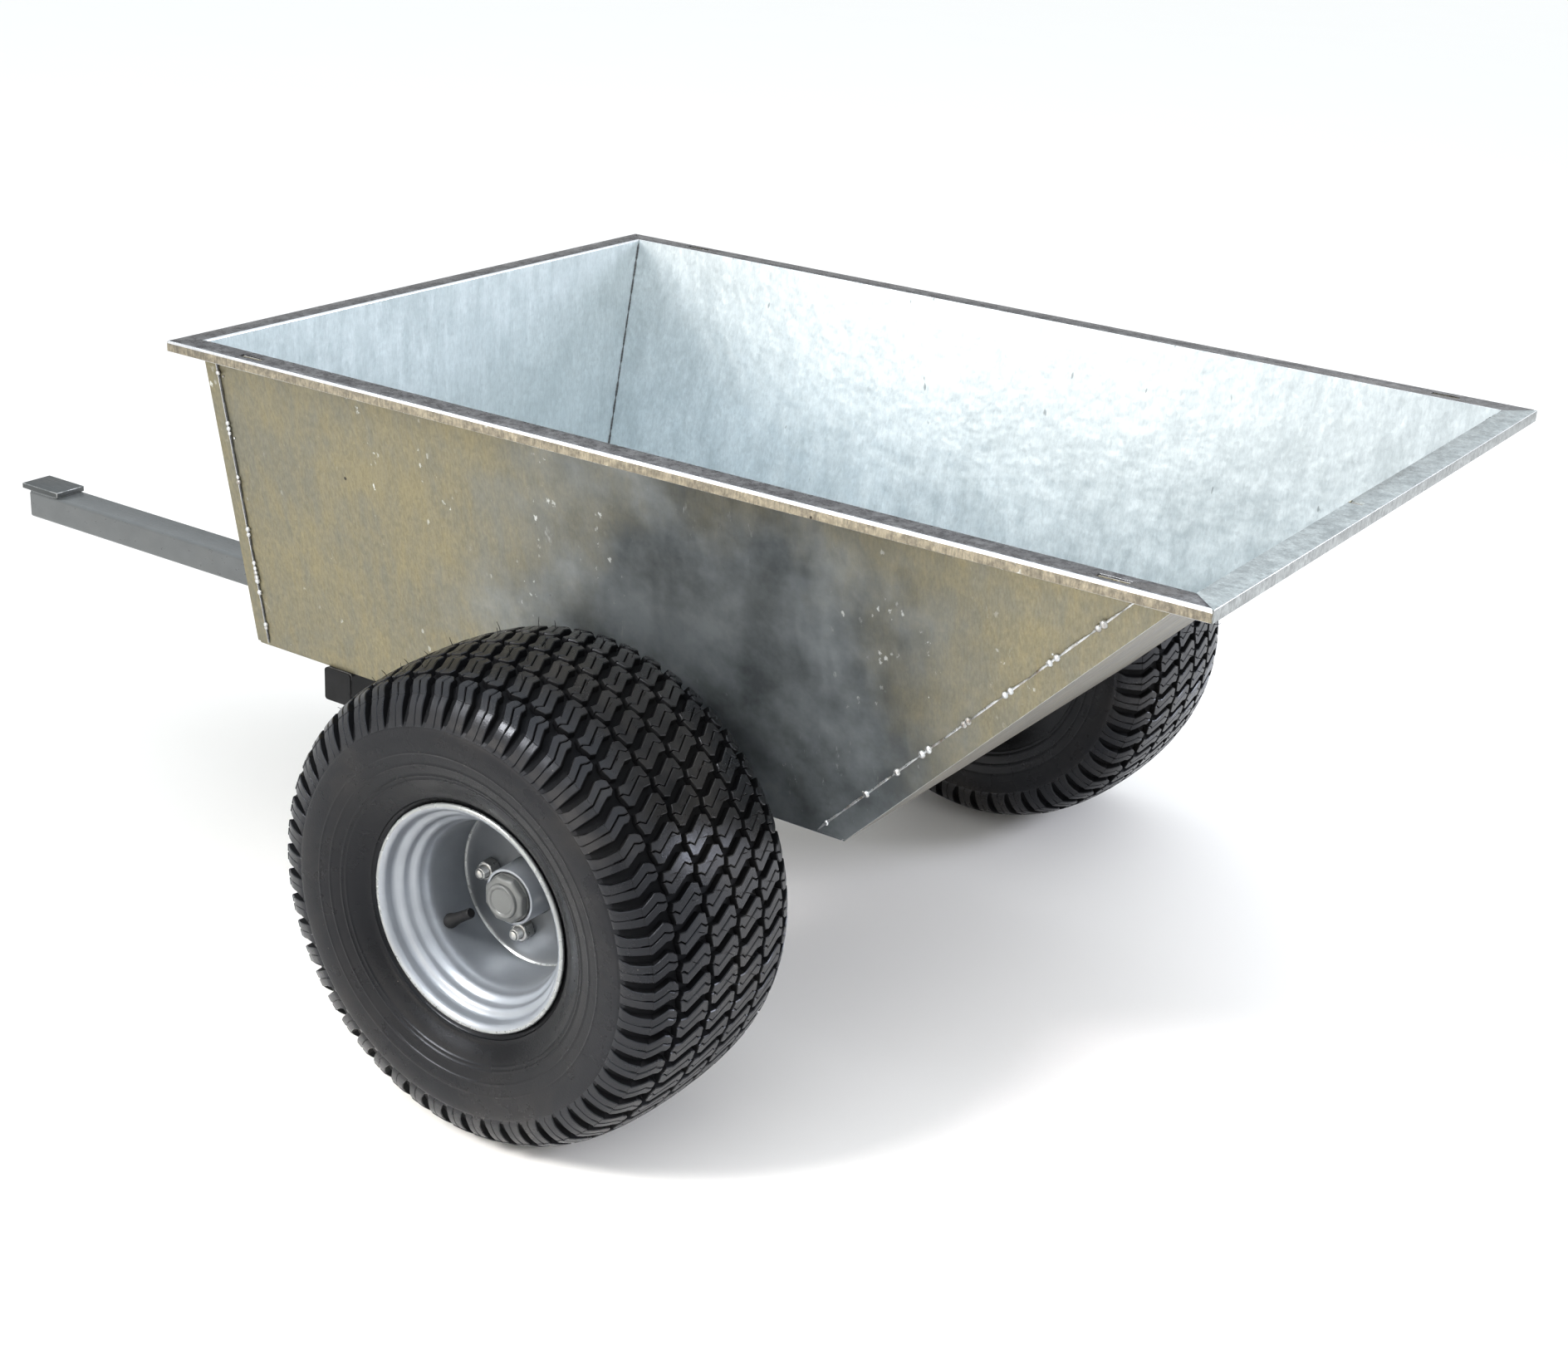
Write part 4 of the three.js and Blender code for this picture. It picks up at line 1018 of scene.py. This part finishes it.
def build_seam(end, side):
    """The dipped seam along a return's edge, with the drops of its tack welds."""
    chance = random.Random(100 + 10 * end + side)
    shape = Shape()
    low, high = FLOOR_Z + 5, RIM_Z - 4
    look, radius, swell = (1, 1.0, 0.85) if end > 0 else (0, 1.4, 1)

    def place(t, proud):
        return seam_point(end, side, low + (high - low) * t, proud)

    for k in range(12):
        bead(shape, place(k / 12, 0.9), place((k + 1) / 12, 0.9), radius, chance, 0.35, 5, look)
    for tack, count in TACKS[end]:
        for n in range(count):
            t = tack + (n - (count - 1) / 2) * DROP_PITCH + chance.uniform(-0.003, 0.003)
            t = min(0.995, max(0.005, t))
            drop(shape, place(t, 1.8), chance.uniform(2.9, 4.3) * swell)
            if chance.random() < 0.6:
                away = Vector((chance.uniform(-6, 6), 0, chance.uniform(-6, 6))) * MM
                drop(shape, place(t, -0.2) + away, chance.uniform(0.8, 1.5))
    finish_tub_weld(shape, "seam_weld", end, side, [WELD, SEAM])


def build_inner_seam(end, side):
    """The rough dark line where an end wall meets a side wall inside the tub."""
    chance = random.Random(300 + 10 * end + side)
    shape = Shape()
    steps = 16
    bottom, top, inset = FLOOR_REAR, OPEN_REAR, 3.0
    if end > 0:
        bottom, top, inset = FLOOR_FRONT, OPEN_FRONT, -2.2

    def corner(t):
        z = FLOOR_Z + 4 + (RIM_Z - FLOOR_Z - 9) * t
        y = wall(FLOOR_SIDE, OPEN_SIDE, z) - 2.3
        return at(wall(bottom, top, z) + inset, side * y, z)

    for k in range(steps):
        start, stop = corner(k / steps), corner((k + 1) / steps)
        bead(shape, start, stop, chance.uniform(0.7, 1.5), chance, 0.45)
    finish_tub_weld(shape, "inner_seam", end, side, [SEAM])


def build_corner(end, side):
    """The weld across a mitred corner of the rim, with a dressed edge at the lip."""
    chance = random.Random(200 + 10 * end + side)
    shape = Shape()
    open_x, rim_x = (OPEN_FRONT, RIM_FRONT) if end > 0 else (OPEN_REAR, RIM_REAR)

    def inside_rim(inset, depth):
        return at(rim_x - end * inset, side * (RIM_SIDE - inset), RIM_Z - depth)

    bead(shape, at(open_x, side * OPEN_SIDE, RIM_Z - 2.0), inside_rim(2.4, 2.0), 1.45, chance, 0.3)
    bead(shape, inside_rim(0.9, 11.5), inside_rim(1.6, 2.2), 0.85, chance, 0.2)
    finish_tub_weld(shape, "corner_weld", end, side, [WELD])


def build_tub_parts():
    # The strike uses the rear rim's bright copy of the zinc, with its painted light.
    rounded("tub_strike", "tub", [ZINC_REAR_LIT], 0.8)
    for node in ("front_cross_tube", "pivot_cross_tube"):
        rounded(node, "tub", [BLACK, BLACK_EDGE], 0.4, 1, 60)
    for side in ("left", "right"):
        for node in ("front_tube_cap_", "pivot_tube_cap_"):
            rounded(node + side, "tub", [PLASTIC], 0.7)
        rounded("pivot_clevis_" + side, "tub", [BLACK, BLACK_EDGE], 0.7)
        for node in ("pivot_bolt_", "pivot_nut_"):
            rounded(node + side, "tub", [PLATED], 0.6)


# ---- Chassis and latch ----------

def build_chassis():
    rounded("drawbar", "chassis", [GREY], 0.5, 1, 60)
    rounded("hitch_plate", "chassis", [HITCH_GREY_SHADED, GREY_EDGE], 0.9)
    for node in ("axle_beam", "latch_bracket", "gusset_left", "gusset_right", "pivot_lug_left",
                 "pivot_lug_right"):
        rounded(node, "chassis", [GREY, GREY_EDGE], 0.8)
    for side in ("left", "right"):
        rounded("stub_axle_" + side, "chassis", [STEEL], 0.8)
        rounded("axle_nut_" + side, "chassis", [PLATED], 0.7)
        for node in ("bearing_inner_", "bearing_outer_"):
            rounded(node + side, "wheel_" + side, [STEEL], 0.5)
    rounded("rest_pad", "chassis", [RUBBER], 1.2)
    rounded("latch_pin", "chassis", [PLATED], 0.5)
    rounded("latch_lever", "latch", [PLATED], 0.8)
    rounded("latch_grip", "latch", [PLASTIC], 0.5, 1, 80)


def weld_runs(name, seed, runs):
    """One piece of weld runs, each a start, an end and a radius in millimetres."""
    chance = random.Random(seed)
    shape = Shape()
    for start, end, radius in runs:
        bead(shape, at(*start), at(*end), radius, chance)
    shape.finish(name, "chassis", "grey_paint", [GREY], 60)


def build_chassis_welds():
    """Fillet welds where the drawbar, gussets and pivot lugs meet the axle beam."""
    runs = []
    for side in (1, -1):
        runs += [
            ((26, side * 27, 237), (26, side * 133, 237), 2.6),
            ((28, side * 26, 237), (132, side * 26, 237), 2.6),
            ((26, side * 25.6, 222), (26, side * 25.6, 257), 2.6),
        ]
        runs += [((-26, side * 200 + face, 230), (-26, side * 200 + face, 260), 2.4)
                 for face in (5.6, -5.6)]
    weld_runs("chassis_welds", 7, runs + [((26, -23, 259.6), (26, 23, 259.6), 2.6)])


def build_hitch_weld():
    """Fillet welds around the hitch plate."""
    runs = [((1288, y, 259.9), (1344, y, 259.9), 1.8) for y in (24.2, -24.2)]
    weld_runs("hitch_weld", 8, runs + [((1345.4, -19, 259.6), (1345.4, 19, 259.6), 1.8)])


# ---- Studio ----------

FLOOR_REACH = 250

CAMERA_PLACE = Vector((-1.7168, 2.1690, 1.3559))
CAMERA_YAW, CAMERA_PITCH, CAMERA_ROLL = (math.radians(a) for a in (-56.33, -22.51, 3.03))
CAMERA_LENS, CAMERA_SENSOR = 54.64, 36
CAMERA_SHIFT = (0.0201, 0.0147)

# The dome's colour from the horizon and below (0) to straight up (1).
DOME = [(0.0, (0.48, 0.48, 0.48)), (0.05, (0.48, 0.48, 0.48)), (0.12, (0.45, 0.45, 0.44)),
        (0.4, (0.49, 0.515, 0.53)), (1.0, (0.585, 0.63, 0.66))]
DOME_STRENGTH, PATCH_LOSS = 2.0, 1.5
PATCH_AIM = (0.76, -0.62, 0.2)

# Each panel's place, target, size, power and colour, and its spread in degrees if it is narrow.
PANELS = {
    "sky_panel": ((-1.2, 1.2, 4.2), (-0.1, 0, 0.4), (7.0, 7.0), 85, (0.95, 0.97, 1.0)),
    "side_panel": ((1.7, 3.4, 2.0), (-0.4, -0.3, 0.5), (1.3, 0.9), 20, (1.0, 0.98, 0.95)),
    "back_panel": ((-3.2, -2.4, 1.7), (-0.4, 0.3, 0.3), (1.2, 1.0), 95, (0.84, 0.88, 1.0)),
    "wheel_panel": ((0.5, 2.4, 1.9), (-0.36, 0.62, 0.14), (1.0, 1.0), 3.8, (1.0, 0.99, 0.97), 24),
    "low_panel": ((0.6, 3.2, 0.5), (-0.2, 0.4, 0.3), (2.2, 0.5), 14, (1.0, 0.9, 0.76)),
}


def build_floor():
    mesh = bpy.data.meshes.new("studio_floor")
    far = FLOOR_REACH
    corners = [(-far, -far, 0), (far, -far, 0), (far, far, 0), (-far, far, 0)]
    mesh.from_pydata(corners, [], [(0, 1, 2, 3)])
    mesh.materials.append(studio_floor("studio_floor"))
    floor = bpy.data.objects.new("studio_floor", mesh)
    bpy.context.scene.collection.objects.link(floor)


def build_camera():
    """The camera, above and behind the cart's left side."""
    level, rise = math.cos(CAMERA_PITCH), math.sin(CAMERA_PITCH)
    ahead = Vector((math.cos(CAMERA_YAW) * level, math.sin(CAMERA_YAW) * level, rise))
    flat = ahead.cross(Vector((0, 0, 1))).normalized()
    above = flat.cross(ahead)
    right = flat * math.cos(CAMERA_ROLL) + above * math.sin(CAMERA_ROLL)
    up = above * math.cos(CAMERA_ROLL) - flat * math.sin(CAMERA_ROLL)
    data = bpy.data.cameras.new("camera")
    data.sensor_width = CAMERA_SENSOR
    data.lens = CAMERA_LENS
    data.shift_x, data.shift_y = CAMERA_SHIFT
    camera = bpy.data.objects.new("camera", data)
    turn = Matrix((right, up, -ahead)).transposed().to_4x4()
    camera.matrix_world = Matrix.Translation(CAMERA_PLACE) @ turn
    bpy.context.scene.collection.objects.link(camera)
    bpy.context.scene.camera = camera


def area_light(name, place, target, size, power, colour, spread=180):
    data = bpy.data.lights.new(name, "AREA")
    data.spread = math.radians(spread)
    data.shape = "RECTANGLE"
    data.size, data.size_y = size
    data.energy = power
    data.color = colour
    lamp = bpy.data.objects.new(name, data)
    lamp.location = place
    lamp.rotation_euler = (Vector(target) - Vector(place)).to_track_quat("-Z", "Y").to_euler()
    bpy.context.scene.collection.objects.link(lamp)


def build_dome():
    """A dome that brightens upwards, with a dim low patch on one side."""
    world = bpy.data.worlds.new("studio")
    world.use_nodes = True
    nodes = Nodes(world.node_tree, "Generated")
    height = nodes.node("ShaderNodeSeparateXYZ", in_Vector=nodes.place).outputs["Z"]
    ramp = nodes.node("ShaderNodeValToRGB", in_Fac=height)
    while len(ramp.color_ramp.elements) < len(DOME):
        ramp.color_ramp.elements.new(0.5)
    for element, (position, colour) in zip(ramp.color_ramp.elements, DOME):
        element.position = position
        element.color = (*colour, 1)
    aim = nodes.vector("DOT_PRODUCT", "Value", nodes.place, PATCH_AIM)
    patch = nodes.times(nodes.ramp(aim, 0.72, 0.96, curve="SMOOTHSTEP"),
                        nodes.ramp(height, 0.05, 0.14, curve="SMOOTHSTEP"))
    patch = nodes.times(patch, nodes.ramp(height, 0.3, 0.4, 1.0, 0.0, "SMOOTHSTEP"))
    background = nodes.tree.nodes["Background"]
    nodes.feed(ramp.outputs["Color"], background.inputs["Color"])
    strength = nodes.minus(DOME_STRENGTH, nodes.times(patch, PATCH_LOSS))
    nodes.feed(strength, background.inputs["Strength"])
    bpy.context.scene.world = world


def build_light():
    """The dome and five soft panels."""
    build_dome()
    for name, settings in PANELS.items():
        area_light(name, *settings)
    bpy.context.scene.view_settings.view_transform = "Standard"


build_camera()
build_floor()
build_light()
for wheel_side in (1, -1):
    build_tyre(wheel_side)
    build_rim(wheel_side)
    build_disc(wheel_side)
    build_hub(wheel_side)
    build_hub_cap(wheel_side)
    build_valve(wheel_side)
    for stud_number in (1, 2, 3, 4):
        build_stud(wheel_side, stud_number)
build_tub()
for tub_end in (1, -1):
    for tub_side in (1, -1):
        build_seam(tub_end, tub_side)
        build_inner_seam(tub_end, tub_side)
        build_corner(tub_end, tub_side)
build_tub_parts()
build_chassis()
build_chassis_welds()
build_hitch_weld()
